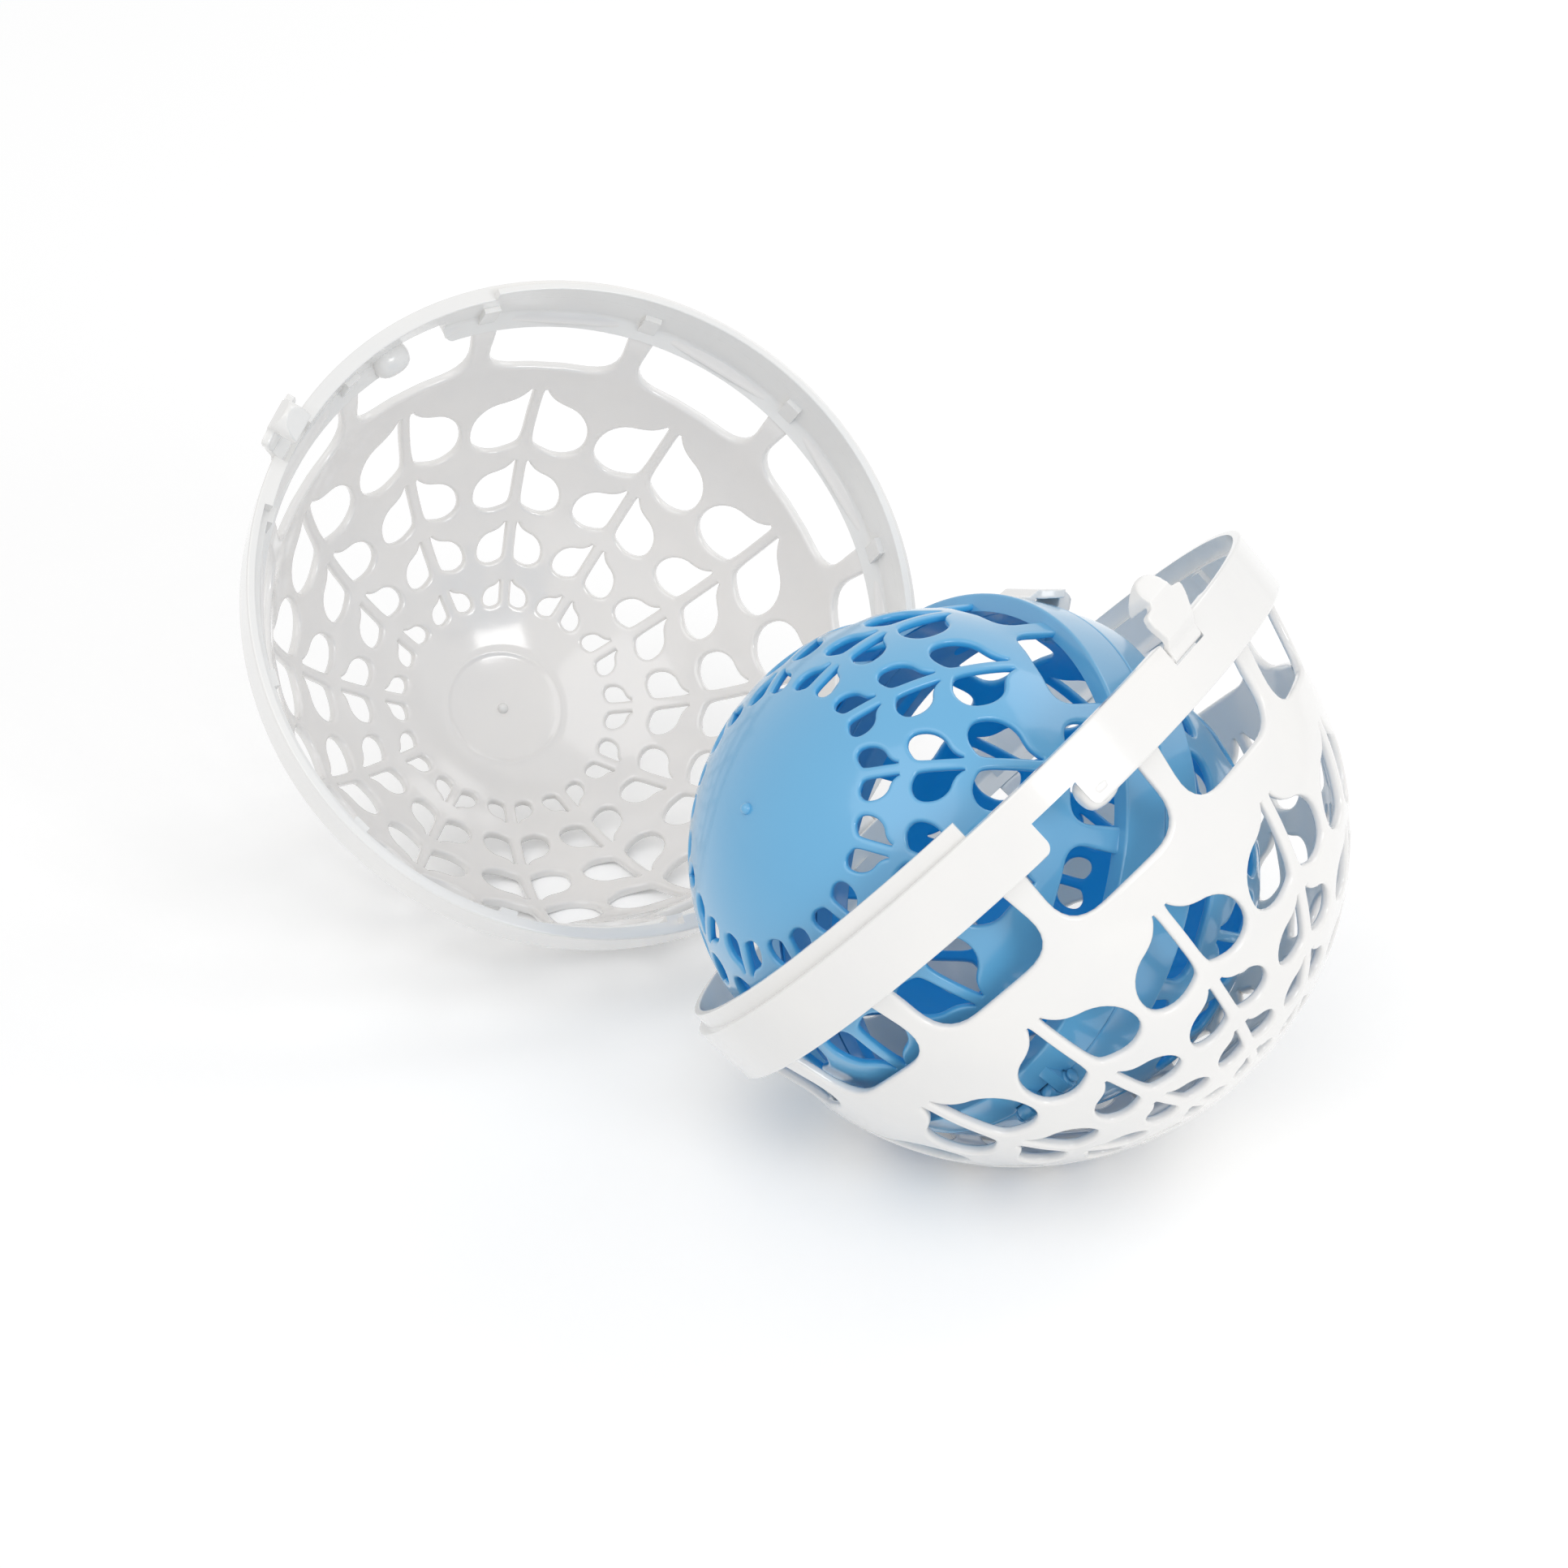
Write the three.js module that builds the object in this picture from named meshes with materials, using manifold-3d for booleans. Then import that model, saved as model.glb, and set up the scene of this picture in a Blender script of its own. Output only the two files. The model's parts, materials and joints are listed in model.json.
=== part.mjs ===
// Delicates wash ball: a white openwork ball that opens on a hinge like a clamshell,
// with a smaller blue openwork ball lying in its lower half. Millimetres, +Z up.
// It stands open on its two domes, and the origin is on the floor below its middle.
import * as THREE from 'three';
import { mergeVertices } from 'three/addons/utils/BufferGeometryUtils.js';
import Module from 'manifold-3d';

const wasm = await Module();
wasm.setup();

// Shared sizes
const COLUMNS = 12;
const ROUND_STEPS = 2 * COLUMNS;
const SMALL_ROUND_STEPS = 8;
const RUNNING_CLEARANCE = 0.35;
const SEAT_GAP = 0.45;
const SEAT_STEP = 0.02;
const CUT_OVERRUN = 3;
const LEAF_MARGIN = 2.6;
const LEAF_SHOULDER = 0.4;
const LEAF_HEEL = 0.6;
const LEAF_DENT = 0.15;
const LUG_BACK_SHARE = 0.9;
const LUG_FRONT_SHARE = 0.6;
const LUG_TOP_SHARE = 1 / 3;
const LEVER_CURVE_STEPS = 4;
const WELD = 1e-4;

// White outer ball: sizes of one of its two like halves
const OUTER = {
  domeRadius: 76,
  domeDrop: 17,
  wall: 2.4,
  poleFlat: 12,
  bandRadius: 84,
  bandDraft: 1,
  bandHeight: 15,
  rimWall: 4,
  strutInset: 4.6,
  ribWidth: 2.6,
  tongueWall: 1.7,
  tongueHeight: 4,
  tongueStart: 30,
  tongueSweep: 120,
  windowHeight: 16.6,
  windowWidth: 34.2,
  windowCorner: 8,
  firstColumn: 15,
  leafRows: [
    { heel: 20.7, tip: 25.6, share: 0.75 },
    { heel: 30.2, tip: 38.1, share: 0.78 },
    { heel: 41.8, tip: 52.4, share: 0.79 },
    { heel: 55, tip: 71.6, share: 0.86 },
  ],
  hingeAngle: 120,
  hingeStandoff: 2,
  knuckleRadius: 3,
  knuckleLength: 5.9,
  hingePinRadius: 1.5,
  hingeHeadRadius: 2.4,
  hingeHeadLength: 1.2,
  lugHeight: 12,
  lugRoot: 2.5,
  latchSpread: 17,
};

// Blue inner ball: sizes of one of its two like halves
const INNER = {
  domeRadius: 55.9,
  domeDrop: 12.7,
  wall: 2,
  poleFlat: 9,
  bandRadius: 61.7,
  bandDraft: 0.7,
  bandHeight: 11,
  rimWall: 2.9,
  strutInset: 3.1,
  ribWidth: 2.2,
  tongueWall: 1.1,
  tongueHeight: 3,
  tongueStart: 30,
  tongueSweep: 95,
  windowHeight: 11,
  windowWidth: 24.6,
  windowCorner: 4.5,
  firstColumn: 0,
  leafRows: [
    { heel: 30.2, tip: 39, share: 0.71 },
    { heel: 42, tip: 54.3, share: 0.7 },
    { heel: 56.9, tip: 72.8, share: 0.79 },
  ],
  hingeAngle: 75,
  hingeStandoff: 0.7,
  knuckleRadius: 2.1,
  knuckleLength: 3.8,
  hingePinRadius: 1,
  hingeHeadRadius: 1.6,
  hingeHeadLength: 0.8,
  lugHeight: 8,
  lugRoot: 1.8,
  latchSpread: 36.5,
};

// Latch lever, one moulding used four times, measured from the band's face and the rim plane
const LEVER = {
  footRadius: 1.4,
  pivotInset: 1.4,
  pivotDepth: 4.2,
  trunnionRadius: 0.7,
  trunnionLength: 1.2,
  footWidth: 11.4,
  shoulderWidth: 14.6,
  waistWidth: 9.4,
  headWidth: 9,
  thickness: 2.1,
  bendDepth: 2.6,
  shoulderReach: 2.5,
  creaseReach: 4.5,
  creaseHeight: 8.3,
  earReach: 2.7,
  earHeight: 13.6,
  hookReach: 3.4,
  hookHeight: 7.8,
  hookTip: 1.1,
};

// Catch for the lever's hook: a cut-out in the lower edge of the band
const CATCH_WIDTH = 13;

// How the open ball stands: both shells lean on the floor with the hinge at its stop
const OPEN_ANGLE = 94.7;
const LOWER_AZIMUTH = 158.04;
const LOWER_TILT = 47.36;
const LOWER_ROLL = -152.15;

// Depth of the flats on which the open ball stands
const STAND_FLAT = 0.8;

// How the inner ball lies in the lower shell, before it is lowered onto its seat
const BALL_OFFSET_X = -11.1;
const BALL_OFFSET_Y = -4.9;
const BALL_AZIMUTH = 60.73;
const BALL_TILT = 134.83;
const BALL_ROLL = -77.44;

const WHITE = new THREE.MeshStandardMaterial({ color: 0xf4f3f0, roughness: 0.45, metalness: 0 });
const BLUE = new THREE.MeshStandardMaterial({ color: 0x5f9fd0, roughness: 0.3, metalness: 0 });

const radians = THREE.MathUtils.degToRad;
const Z_AXIS = new THREE.Vector3(0, 0, 1);

// A closed geometry as a solid that can be joined and cut
function solid(geometry, matrix = new THREE.Matrix4()) {
  const plain = geometry.index ? geometry.toNonIndexed() : geometry.clone();
  plain.deleteAttribute('normal');
  plain.deleteAttribute('uv');
  plain.applyMatrix4(matrix);
  const merged = mergeVertices(plain, WELD);
  const index = merged.index.array;
  const corners = [];
  for (let i = 0; i < index.length; i += 3) {
    const [a, b, c] = index.slice(i, i + 3);
    if (a !== b && b !== c && c !== a) corners.push(a, b, c);
  }
  return new wasm.Manifold(new wasm.Mesh({
    numProp: 3,
    vertProperties: new Float32Array(merged.attributes.position.array),
    triVerts: new Uint32Array(corners),
  }));
}

// A finished solid as a named mesh
function meshOf(name, shape, material) {
  const result = shape.getMesh();
  const geometry = new THREE.BufferGeometry();
  const positions = new Float32Array(result.vertProperties);
  geometry.setAttribute('position', new THREE.BufferAttribute(positions, 3));
  geometry.setIndex(new THREE.BufferAttribute(new Uint32Array(result.triVerts), 1));
  geometry.computeVertexNormals();
  const mesh = new THREE.Mesh(geometry, material);
  mesh.name = name;
  return mesh;
}

// Places a shape on the side of a half: its x runs along the rim, its y up and its z outward
function onSide(angle, radius, height) {
  const turn = radians(angle);
  const along = new THREE.Vector3(-Math.sin(turn), Math.cos(turn), 0);
  const outward = new THREE.Vector3(Math.cos(turn), Math.sin(turn), 0);
  const place = new THREE.Matrix4().makeBasis(along, Z_AXIS, outward);
  return place.setPosition(outward.clone().multiplyScalar(radius).setZ(height));
}

// A rod along the rim at the given angle, from one place along it to another
function rimRod(angle, radius, height, rodRadius, from, to) {
  const rod = new THREE.CylinderGeometry(rodRadius, rodRadius, to - from, SMALL_ROUND_STEPS);
  rod.rotateZ(Math.PI / 2);
  rod.translate((from + to) / 2, 0, 0);
  return solid(rod, onSide(angle, radius, height));
}

// A block cut through the band: its width along the rim, its heights and its radii
function rimBlock(angle, width, low, high, fromRadius, toRadius) {
  const block = new THREE.BoxGeometry(width, high - low, toRadius - fromRadius);
  return solid(block, onSide(angle, (fromRadius + toRadius) / 2, (low + high) / 2));
}

// A stretch of ring between two radii, two heights and two angles
function ringSector(fromRadius, toRadius, low, high, fromAngle, sweep) {
  const start = radians(fromAngle);
  const end = radians(fromAngle + sweep);
  const shape = new THREE.Shape();
  shape.absarc(0, 0, toRadius, start, end, false);
  shape.absarc(0, 0, fromRadius, end, start, true);
  const steps = Math.round(sweep * ROUND_STEPS / 360);
  const options = { depth: high - low, bevelEnabled: false, curveSegments: steps };
  const sector = new THREE.ExtrudeGeometry(shape, options);
  sector.translate(0, 0, low);
  return solid(sector);
}

// Depth of the windows' lower edge below the rim plane
function windowFoot(half) {
  return half.bandHeight + RUNNING_CLEARANCE + half.windowHeight;
}

// Radius at which the struts meet the band
function strutTopRadius(half) {
  return half.bandRadius - half.strutInset;
}

// Radius of the hinge pin from the axis of the ball
function hingeRadius(half) {
  return half.bandRadius + half.hingeStandoff;
}

// Angles from the pole at which a dome has its rings: the plain bands between its leaf rows
function ringAngles(half) {
  const rows = half.leafRows;
  const lastAngle = Math.acos((windowFoot(half) - half.domeDrop) / half.domeRadius);
  const heels = [...rows.slice(1).map((row) => radians(row.heel)), lastAngle];
  const firstAngle = radians(rows[0].heel) - LEAF_MARGIN / half.domeRadius;
  return [firstAngle, ...rows.map((row, i) => (radians(row.tip) + heels[i]) / 2)];
}

// Outline of one wall face of a half, from the pole to the band, as points of radius and height
function wallFace(half, inset) {
  const radius = half.domeRadius - inset;
  const flat = Math.asin(half.poleFlat / half.domeRadius);
  const angles = [flat, ...ringAngles(half)];
  const points = angles.map((angle) => (
    new THREE.Vector2(radius * Math.sin(angle), -half.domeDrop - radius * Math.cos(angle))
  ));
  points.unshift(new THREE.Vector2(0, points[0].y));
  points.push(new THREE.Vector2(strutTopRadius(half) - inset, -half.bandHeight));
  return points;
}

// Inner face of a half from the pole up to its rim
function innerFace(half) {
  const rimInner = half.bandRadius - half.rimWall;
  const points = wallFace(half, half.wall);
  points.push(new THREE.Vector2(rimInner, -half.bandHeight + half.rimWall));
  points.push(new THREE.Vector2(rimInner, 0));
  return points;
}

// Place on a ring of the half, counted in steps round the axis
function onRing(ring, step) {
  const turn = 2 * Math.PI * step / ROUND_STEPS;
  return new THREE.Vector3(ring.x * Math.cos(turn), ring.x * Math.sin(turn), ring.y);
}

// Place in a facet between two rings: across it from 0 to 1 and up it from 0 to 1
function inFacet(low, high, step, spot) {
  const foot = onRing(low, step).lerp(onRing(low, step + 1), spot.x);
  const top = onRing(high, step).lerp(onRing(high, step + 1), spot.x);
  return foot.lerp(top, spot.y);
}

// One lobe of a leaf in the facet beside its rib, between two angles from the pole
function leafLobe(half, row, fromAngle, toAngle) {
  const facet = 2 * Math.sin(Math.PI / ROUND_STEPS) * half.domeRadius;
  const spot = (across, angle) => new THREE.Vector2(
    across / (facet * Math.sin(angle)), (angle - fromAngle) / (toAngle - fromAngle),
  );
  const heel = radians(row.heel);
  const tip = radians(row.tip);
  const shoulder = THREE.MathUtils.lerp(heel, tip, LEAF_SHOULDER);
  const reach = row.share * facet * Math.sin(shoulder);
  const rib = half.ribWidth / 2;
  return [
    spot(reach * LEAF_HEEL, heel),
    spot(reach, shoulder),
    spot(rib, tip),
    spot(rib, THREE.MathUtils.lerp(heel, tip, LEAF_DENT)),
  ];
}

// One side of a window in the facet beside its middle
function windowSide(half, low, high) {
  const facet = 2 * Math.sin(Math.PI / ROUND_STEPS);
  const height = high.y - low.y;
  const spot = (across, depth) => {
    const up = (-depth - low.y) / height;
    return new THREE.Vector2(across / (facet * THREE.MathUtils.lerp(low.x, high.x, up)), up);
  };
  const foot = windowFoot(half);
  const side = half.windowWidth / 2;
  const top = spot(side, half.bandHeight + RUNNING_CLEARANCE);
  const corner = half.windowCorner;
  return [
    new THREE.Vector2(0, spot(0, foot).y), spot(side - corner, foot), spot(side, foot - corner),
    top, new THREE.Vector2(0, top.y),
  ];
}

// Faces of one facet of the wall with an opening in it: outer face, inner face and opening walls
function openFacet(outer, inner, step, mirrored, opening, atEdge) {
  const flip = (spot) => new THREE.Vector2(mirrored ? 1 - spot.x : spot.x, spot.y);
  const turned = (spots) => (mirrored ? spots.map(flip).reverse() : spots);
  const corners = [[0, 0], [1, 0], [1, 1], [0, 1]].map(([x, y]) => new THREE.Vector2(x, y));
  const edge = turned(opening);
  const contour = atEdge ? turned([...corners, ...[...opening].reverse()]) : corners;
  const holes = atEdge ? [] : [[...edge].reverse()];
  const spots = [...contour, ...holes.flat()];
  const outside = spots.map((spot) => inFacet(...outer, step, spot));
  const inside = spots.map((spot) => inFacet(...inner, step, spot));
  const faces = THREE.ShapeUtils.triangulateShape(contour, holes);
  const triangles = faces.flatMap(([a, b, c]) => [
    outside[a], outside[b], outside[c], inside[a], inside[c], inside[b],
  ]);
  const last = atEdge ? edge.length - 1 : edge.length;
  for (let i = 0; i < last; i += 1) {
    const [from, to] = [edge[i], edge[(i + 1) % edge.length]];
    const [outFrom, outTo] = [inFacet(...outer, step, from), inFacet(...outer, step, to)];
    const [inFrom, inTo] = [inFacet(...inner, step, from), inFacet(...inner, step, to)];
    triangles.push(outFrom, outTo, inTo, outFrom, inTo, inFrom);
  }
  return triangles;
}

// Openwork body of a half: dome with leaf rows, struts between windows, and the plain band
function openworkBody(half) {
  const outside = wallFace(half, 0);
  const inside = wallFace(half, half.wall);
  const angles = ringAngles(half);
  const firstRow = outside.length - half.leafRows.length - 2;
  const middleStep = half.firstColumn * ROUND_STEPS / 360;
  const triangles = [];
  const plain = (low, high, step) => {
    const corners = [[0, 0], [1, 0], [1, 1], [0, 1]].map(
      ([x, y]) => inFacet(low, high, step, new THREE.Vector2(x, y)),
    );
    [0, 1, 2, 0, 2, 3].forEach((corner) => triangles.push(corners[corner]));
  };
  const bandFoot = new THREE.Vector2(half.bandRadius - half.bandDraft, -half.bandHeight);
  const bandRim = new THREE.Vector2(half.bandRadius, 0);
  const band = [outside.at(-1), bandFoot, bandRim, ...innerFace(half).reverse().slice(0, 3)];
  for (let step = 0; step < ROUND_STEPS; step += 1) {
    const mirrored = (step - middleStep) % 2 !== 0;
    for (let k = 1; k < band.length; k += 1) plain(band[k - 1], band[k], step);
    for (let k = 1; k < outside.length; k += 1) {
      const outer = [outside[k - 1], outside[k]];
      const inner = [inside[k - 1], inside[k]];
      const row = half.leafRows[k - 1 - firstRow];
      if (row) {
        const lobe = leafLobe(half, row, angles[k - 1 - firstRow], angles[k - firstRow]);
        triangles.push(...openFacet(outer, inner, step, mirrored, lobe, false));
      } else if (k === outside.length - 1) {
        const side = windowSide(half, ...outer);
        triangles.push(...openFacet(outer, inner, step, mirrored, side, true));
      } else {
        plain(...outer, step);
        plain(inner[1], inner[0], step);
      }
    }
  }
  return solid(new THREE.BufferGeometry().setFromPoints(triangles));
}

// Places along the hinge of a half's own two knuckles
function knuckleSpans(half) {
  const pitch = half.knuckleLength + RUNNING_CLEARANCE;
  const starts = [-2 * pitch + RUNNING_CLEARANCE / 2, RUNNING_CLEARANCE / 2];
  return starts.map((start) => [start, start + half.knuckleLength]);
}

// Lug and knuckle that stand out from the band at the hinge
function hingeKnuckle(half, span) {
  const reach = half.knuckleRadius;
  const root = half.bandRadius - half.lugRoot - hingeRadius(half);
  const shape = new THREE.Shape([
    new THREE.Vector2(reach, 0),
    new THREE.Vector2(-reach * LUG_BACK_SHARE, 0),
    new THREE.Vector2(root, -half.lugHeight * LUG_TOP_SHARE),
    new THREE.Vector2(root, -half.lugHeight),
    new THREE.Vector2(reach, -reach * LUG_FRONT_SHARE),
  ]);
  const length = span[1] - span[0];
  const arm = new THREE.ExtrudeGeometry(shape, { depth: length, bevelEnabled: false });
  arm.rotateY(-Math.PI / 2);
  arm.translate(span[1], 0, 0);
  const place = onSide(half.hingeAngle, hingeRadius(half), 0);
  const barrel = rimRod(half.hingeAngle, hingeRadius(half), 0, reach, span[0], span[1]);
  return solid(arm, place).add(barrel);
}

// One half of a ball, opening toward +Z, with its rim plane at height zero
function ballHalf(half) {
  const latchMiddle = half.hingeAngle + 180;
  const leverAngle = latchMiddle + half.latchSpread;
  const catchAngle = latchMiddle - half.latchSpread;
  const rimInner = half.bandRadius - half.rimWall;
  const clear = RUNNING_CLEARANCE;

  const tongueAngle = half.hingeAngle + half.tongueStart;
  const tongueOuter = rimInner + half.tongueWall;
  const tongue = ringSector(
    rimInner, tongueOuter, -half.rimWall / 2, half.tongueHeight, tongueAngle, half.tongueSweep,
  );
  const sideClear = THREE.MathUtils.radToDeg(clear / rimInner);
  const recessAngle = half.hingeAngle - half.tongueStart - half.tongueSweep - sideClear;
  const recess = ringSector(
    rimInner - CUT_OVERRUN, tongueOuter + clear, -half.tongueHeight - clear, CUT_OVERRUN,
    recessAngle, half.tongueSweep + 2 * sideClear,
  );

  const bandInside = rimInner - CUT_OVERRUN;
  const bandOutside = half.bandRadius + CUT_OVERRUN;
  const notchWidth = LEVER.footWidth + 2 * clear;
  const notchFloor = -LEVER.pivotDepth - LEVER.footRadius - clear;
  const notch = rimBlock(leverAngle, notchWidth, notchFloor, CUT_OVERRUN, bandInside, bandOutside);
  const pivotReach = LEVER.footWidth / 2 + LEVER.trunnionLength + clear;
  const pivotHole = rimRod(
    leverAngle, half.bandRadius - LEVER.pivotInset, -LEVER.pivotDepth,
    LEVER.trunnionRadius + clear, -pivotReach, pivotReach,
  );
  const catchTop = -LEVER.hookHeight + clear;
  const catchFoot = -half.bandHeight - 2 * clear;
  const catchCut = rimBlock(catchAngle, CATCH_WIDTH, catchFoot, catchTop, bandInside, bandOutside);

  const spans = knuckleSpans(half);
  const hingeReach = -spans[0][0] + clear;
  const relief = rimRod(
    half.hingeAngle, hingeRadius(half), 0, half.knuckleRadius + clear, -hingeReach, hingeReach,
  );
  const bore = rimRod(
    half.hingeAngle, hingeRadius(half), 0, half.hingePinRadius + clear, -hingeReach, hingeReach,
  );
  const cuts = [recess, notch, pivotHole, catchCut, relief];
  let body = openworkBody(half).subtract(wasm.Manifold.union(cuts)).add(tongue);
  spans.forEach((span) => {
    body = body.add(hingeKnuckle(half, span));
  });
  return body.subtract(bore);
}

// Pin through the knuckles of both halves, with a head at each end
function hingePin(half) {
  const reach = -knuckleSpans(half)[0][0] + RUNNING_CLEARANCE;
  const rod = (radius, from, to) => rimRod(
    half.hingeAngle, hingeRadius(half), 0, radius, from, to,
  );
  const end = reach + half.hingeHeadLength;
  const shank = rod(half.hingePinRadius, -end, end);
  const head = rod(half.hingeHeadRadius, reach, end);
  const tail = rod(half.hingeHeadRadius, -end, -reach);
  return shank.add(head).add(tail);
}

// Latch lever in a half's frame: a foot in the notch, a bent body and a hooked head
function latchLever(half) {
  const clear = RUNNING_CLEARANCE;
  const angle = half.hingeAngle + 180 + half.latchSpread;
  const wall = LEVER.thickness;
  const side = new THREE.Shape();
  side.moveTo(0, -LEVER.pivotDepth);
  side.lineTo(clear, -LEVER.bendDepth);
  side.lineTo(LEVER.shoulderReach, -clear);
  side.lineTo(LEVER.creaseReach, LEVER.creaseHeight);
  side.lineTo(LEVER.earReach, LEVER.earHeight - clear);
  side.lineTo(LEVER.earReach - wall / 2, LEVER.earHeight);
  side.lineTo(-LEVER.hookReach, LEVER.hookHeight + LEVER.hookTip);
  side.lineTo(-LEVER.hookReach, LEVER.hookHeight);
  side.lineTo(LEVER.creaseReach - wall, LEVER.hookHeight);
  side.lineTo(clear, clear);
  side.lineTo(clear, -clear);
  side.lineTo(-2 * LEVER.footRadius + clear, -LEVER.bendDepth + clear);
  side.lineTo(-2 * LEVER.footRadius, -LEVER.pivotDepth);
  side.absarc(-LEVER.pivotInset, -LEVER.pivotDepth, LEVER.footRadius, Math.PI, 2 * Math.PI, false);
  const moulding = { bevelEnabled: false, curveSegments: LEVER_CURVE_STEPS };
  const profile = new THREE.ExtrudeGeometry(side, { ...moulding, depth: LEVER.shoulderWidth });
  profile.rotateY(-Math.PI / 2);
  profile.translate(LEVER.shoulderWidth / 2, 0, 0);

  const foot = LEVER.footWidth / 2;
  const shoulder = LEVER.shoulderWidth / 2;
  const waist = LEVER.waistWidth / 2;
  const head = LEVER.headWidth / 2;
  const below = -LEVER.pivotDepth - 2 * LEVER.footRadius;
  const ear = LEVER.earHeight - head;
  const front = new THREE.Shape();
  front.moveTo(-foot, below);
  front.lineTo(foot, below);
  front.lineTo(foot, clear);
  front.lineTo(shoulder, clear);
  front.quadraticCurveTo(shoulder, LEVER.creaseHeight / 2, waist, LEVER.hookHeight);
  front.lineTo(head, ear);
  front.absarc(0, ear, head, 0, Math.PI, false);
  front.lineTo(-waist, LEVER.hookHeight);
  front.quadraticCurveTo(-shoulder, LEVER.creaseHeight / 2, -shoulder, clear);
  front.lineTo(-foot, clear);
  const through = 4 * LEVER.creaseReach;
  const outline = new THREE.ExtrudeGeometry(front, { ...moulding, depth: through });
  outline.translate(0, 0, -through / 2);

  const place = onSide(angle, half.bandRadius, 0);
  const pivotReach = foot + LEVER.trunnionLength;
  const trunnions = rimRod(
    angle, half.bandRadius - LEVER.pivotInset, -LEVER.pivotDepth, LEVER.trunnionRadius,
    -pivotReach, pivotReach,
  );
  return solid(profile, place).intersect(solid(outline, place)).add(trunnions);
}

// Turn by azimuth, tilt and roll, as a leaning bowl is described
function leaning(azimuth, tilt, roll) {
  const turn = new THREE.Matrix4().makeRotationZ(radians(azimuth));
  turn.multiply(new THREE.Matrix4().makeRotationY(radians(tilt)));
  turn.multiply(new THREE.Matrix4().makeRotationZ(radians(roll)));
  return turn;
}

// How far a solid reaches in a direction
function reachAlong(body, direction) {
  const corners = new THREE.BufferAttribute(new Float32Array(body.getMesh().vertProperties), 3);
  const corner = new THREE.Vector3();
  let reach = -Infinity;
  for (let i = 0; i < corners.count; i += 1) {
    reach = Math.max(reach, corner.fromBufferAttribute(corners, i).dot(direction));
  }
  return reach;
}

// A half with its dome eased flat at the two places on which it can stand when open
function easedFlat(body, half, lean) {
  const down = Z_AXIS.clone().negate().transformDirection(lean.clone().transpose());
  const turn = radians(half.hingeAngle);
  const along = new THREE.Vector3(-Math.sin(turn), Math.cos(turn), 0);
  const mirrored = down.clone().addScaledVector(along, -2 * down.dot(along));
  const ground = 2 * half.bandRadius;
  const cuts = [down, mirrored].map((direction) => {
    const facing = new THREE.Quaternion().setFromUnitVectors(Z_AXIS, direction);
    const depth = reachAlong(body, direction) - STAND_FLAT + ground / 2;
    const place = new THREE.Matrix4().makeRotationFromQuaternion(facing);
    place.setPosition(direction.clone().multiplyScalar(depth));
    return solid(new THREE.BoxGeometry(ground, ground, ground), place);
  });
  return body.subtract(wasm.Manifold.union(cuts));
}

// Group of the second half of a ball, turned about its hinge pin by the opening angle
function secondHalf(half, opening) {
  const turn = radians(half.hingeAngle);
  const outward = new THREE.Vector3(Math.cos(turn), Math.sin(turn), 0);
  const along = new THREE.Vector3(-Math.sin(turn), Math.cos(turn), 0);
  const hinge = new THREE.Group();
  hinge.position.copy(outward).multiplyScalar(hingeRadius(half));
  hinge.setRotationFromAxisAngle(along, radians(opening));
  const flipped = new THREE.Group();
  flipped.position.copy(hinge.position).negate();
  flipped.setRotationFromAxisAngle(outward, Math.PI);
  hinge.add(flipped);
  return { hinge, flipped };
}

// Place of the inner ball once it is lowered along the shell's axis onto its seat
function seatedPlace(shell, ball, lean) {
  const place = new THREE.Vector3(BALL_OFFSET_X, BALL_OFFSET_Y, 0);
  const lying = lean.clone();
  let clearHeight = OUTER.domeRadius;
  let sunkHeight = -OUTER.domeRadius;
  while (clearHeight - sunkHeight > SEAT_STEP) {
    place.z = (clearHeight + sunkHeight) / 2;
    lying.setPosition(place);
    const meeting = shell.intersect(ball.transform(lying.toArray()));
    if (meeting.isEmpty()) clearHeight = place.z;
    else sunkHeight = place.z;
  }
  return place.setZ(clearHeight + SEAT_GAP);
}

const lowerLean = leaning(LOWER_AZIMUTH, LOWER_TILT, LOWER_ROLL);
const lower = new THREE.Group();
lower.setRotationFromMatrix(lowerLean);

const outerHalf = easedFlat(ballHalf(OUTER), OUTER, lowerLean);
const outerLever = latchLever(OUTER);
lower.add(meshOf('lower_shell', outerHalf, WHITE.clone()));
lower.add(meshOf('outer_hinge_pin', hingePin(OUTER), WHITE.clone()));
lower.add(meshOf('lower_latch_lever', outerLever, WHITE.clone()));

const upper = secondHalf(OUTER, OPEN_ANGLE);
upper.flipped.add(meshOf('upper_shell', outerHalf, WHITE.clone()));
upper.flipped.add(meshOf('upper_latch_lever', outerLever, WHITE.clone()));
lower.add(upper.hinge);

const innerBall = new THREE.Group();
const innerLean = leaning(BALL_AZIMUTH, BALL_TILT, BALL_ROLL);
const innerHalf = ballHalf(INNER);
const innerLever = latchLever(INNER);
const innerRear = secondHalf(INNER, 0);
innerRear.hinge.updateMatrixWorld(true);
const bothHalves = innerHalf.add(innerHalf.transform(innerRear.flipped.matrixWorld.toArray()));
innerBall.setRotationFromMatrix(innerLean);
innerBall.position.copy(seatedPlace(outerHalf, bothHalves, innerLean));
innerBall.add(meshOf('inner_front_half', innerHalf, BLUE.clone()));
innerBall.add(meshOf('inner_hinge_pin', hingePin(INNER), BLUE.clone()));
innerBall.add(meshOf('inner_front_latch_lever', innerLever, WHITE.clone()));
innerRear.flipped.add(meshOf('inner_rear_half', innerHalf, BLUE.clone()));
innerRear.flipped.add(meshOf('inner_rear_latch_lever', innerLever, WHITE.clone()));
innerBall.add(innerRear.hinge);
lower.add(innerBall);

const washBall = new THREE.Group();
washBall.add(lower);
const extent = new THREE.Box3().setFromObject(washBall, true);
const middle = extent.getCenter(new THREE.Vector3());
lower.position.set(-middle.x, -middle.y, -extent.min.z);
export default washBall;
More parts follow.
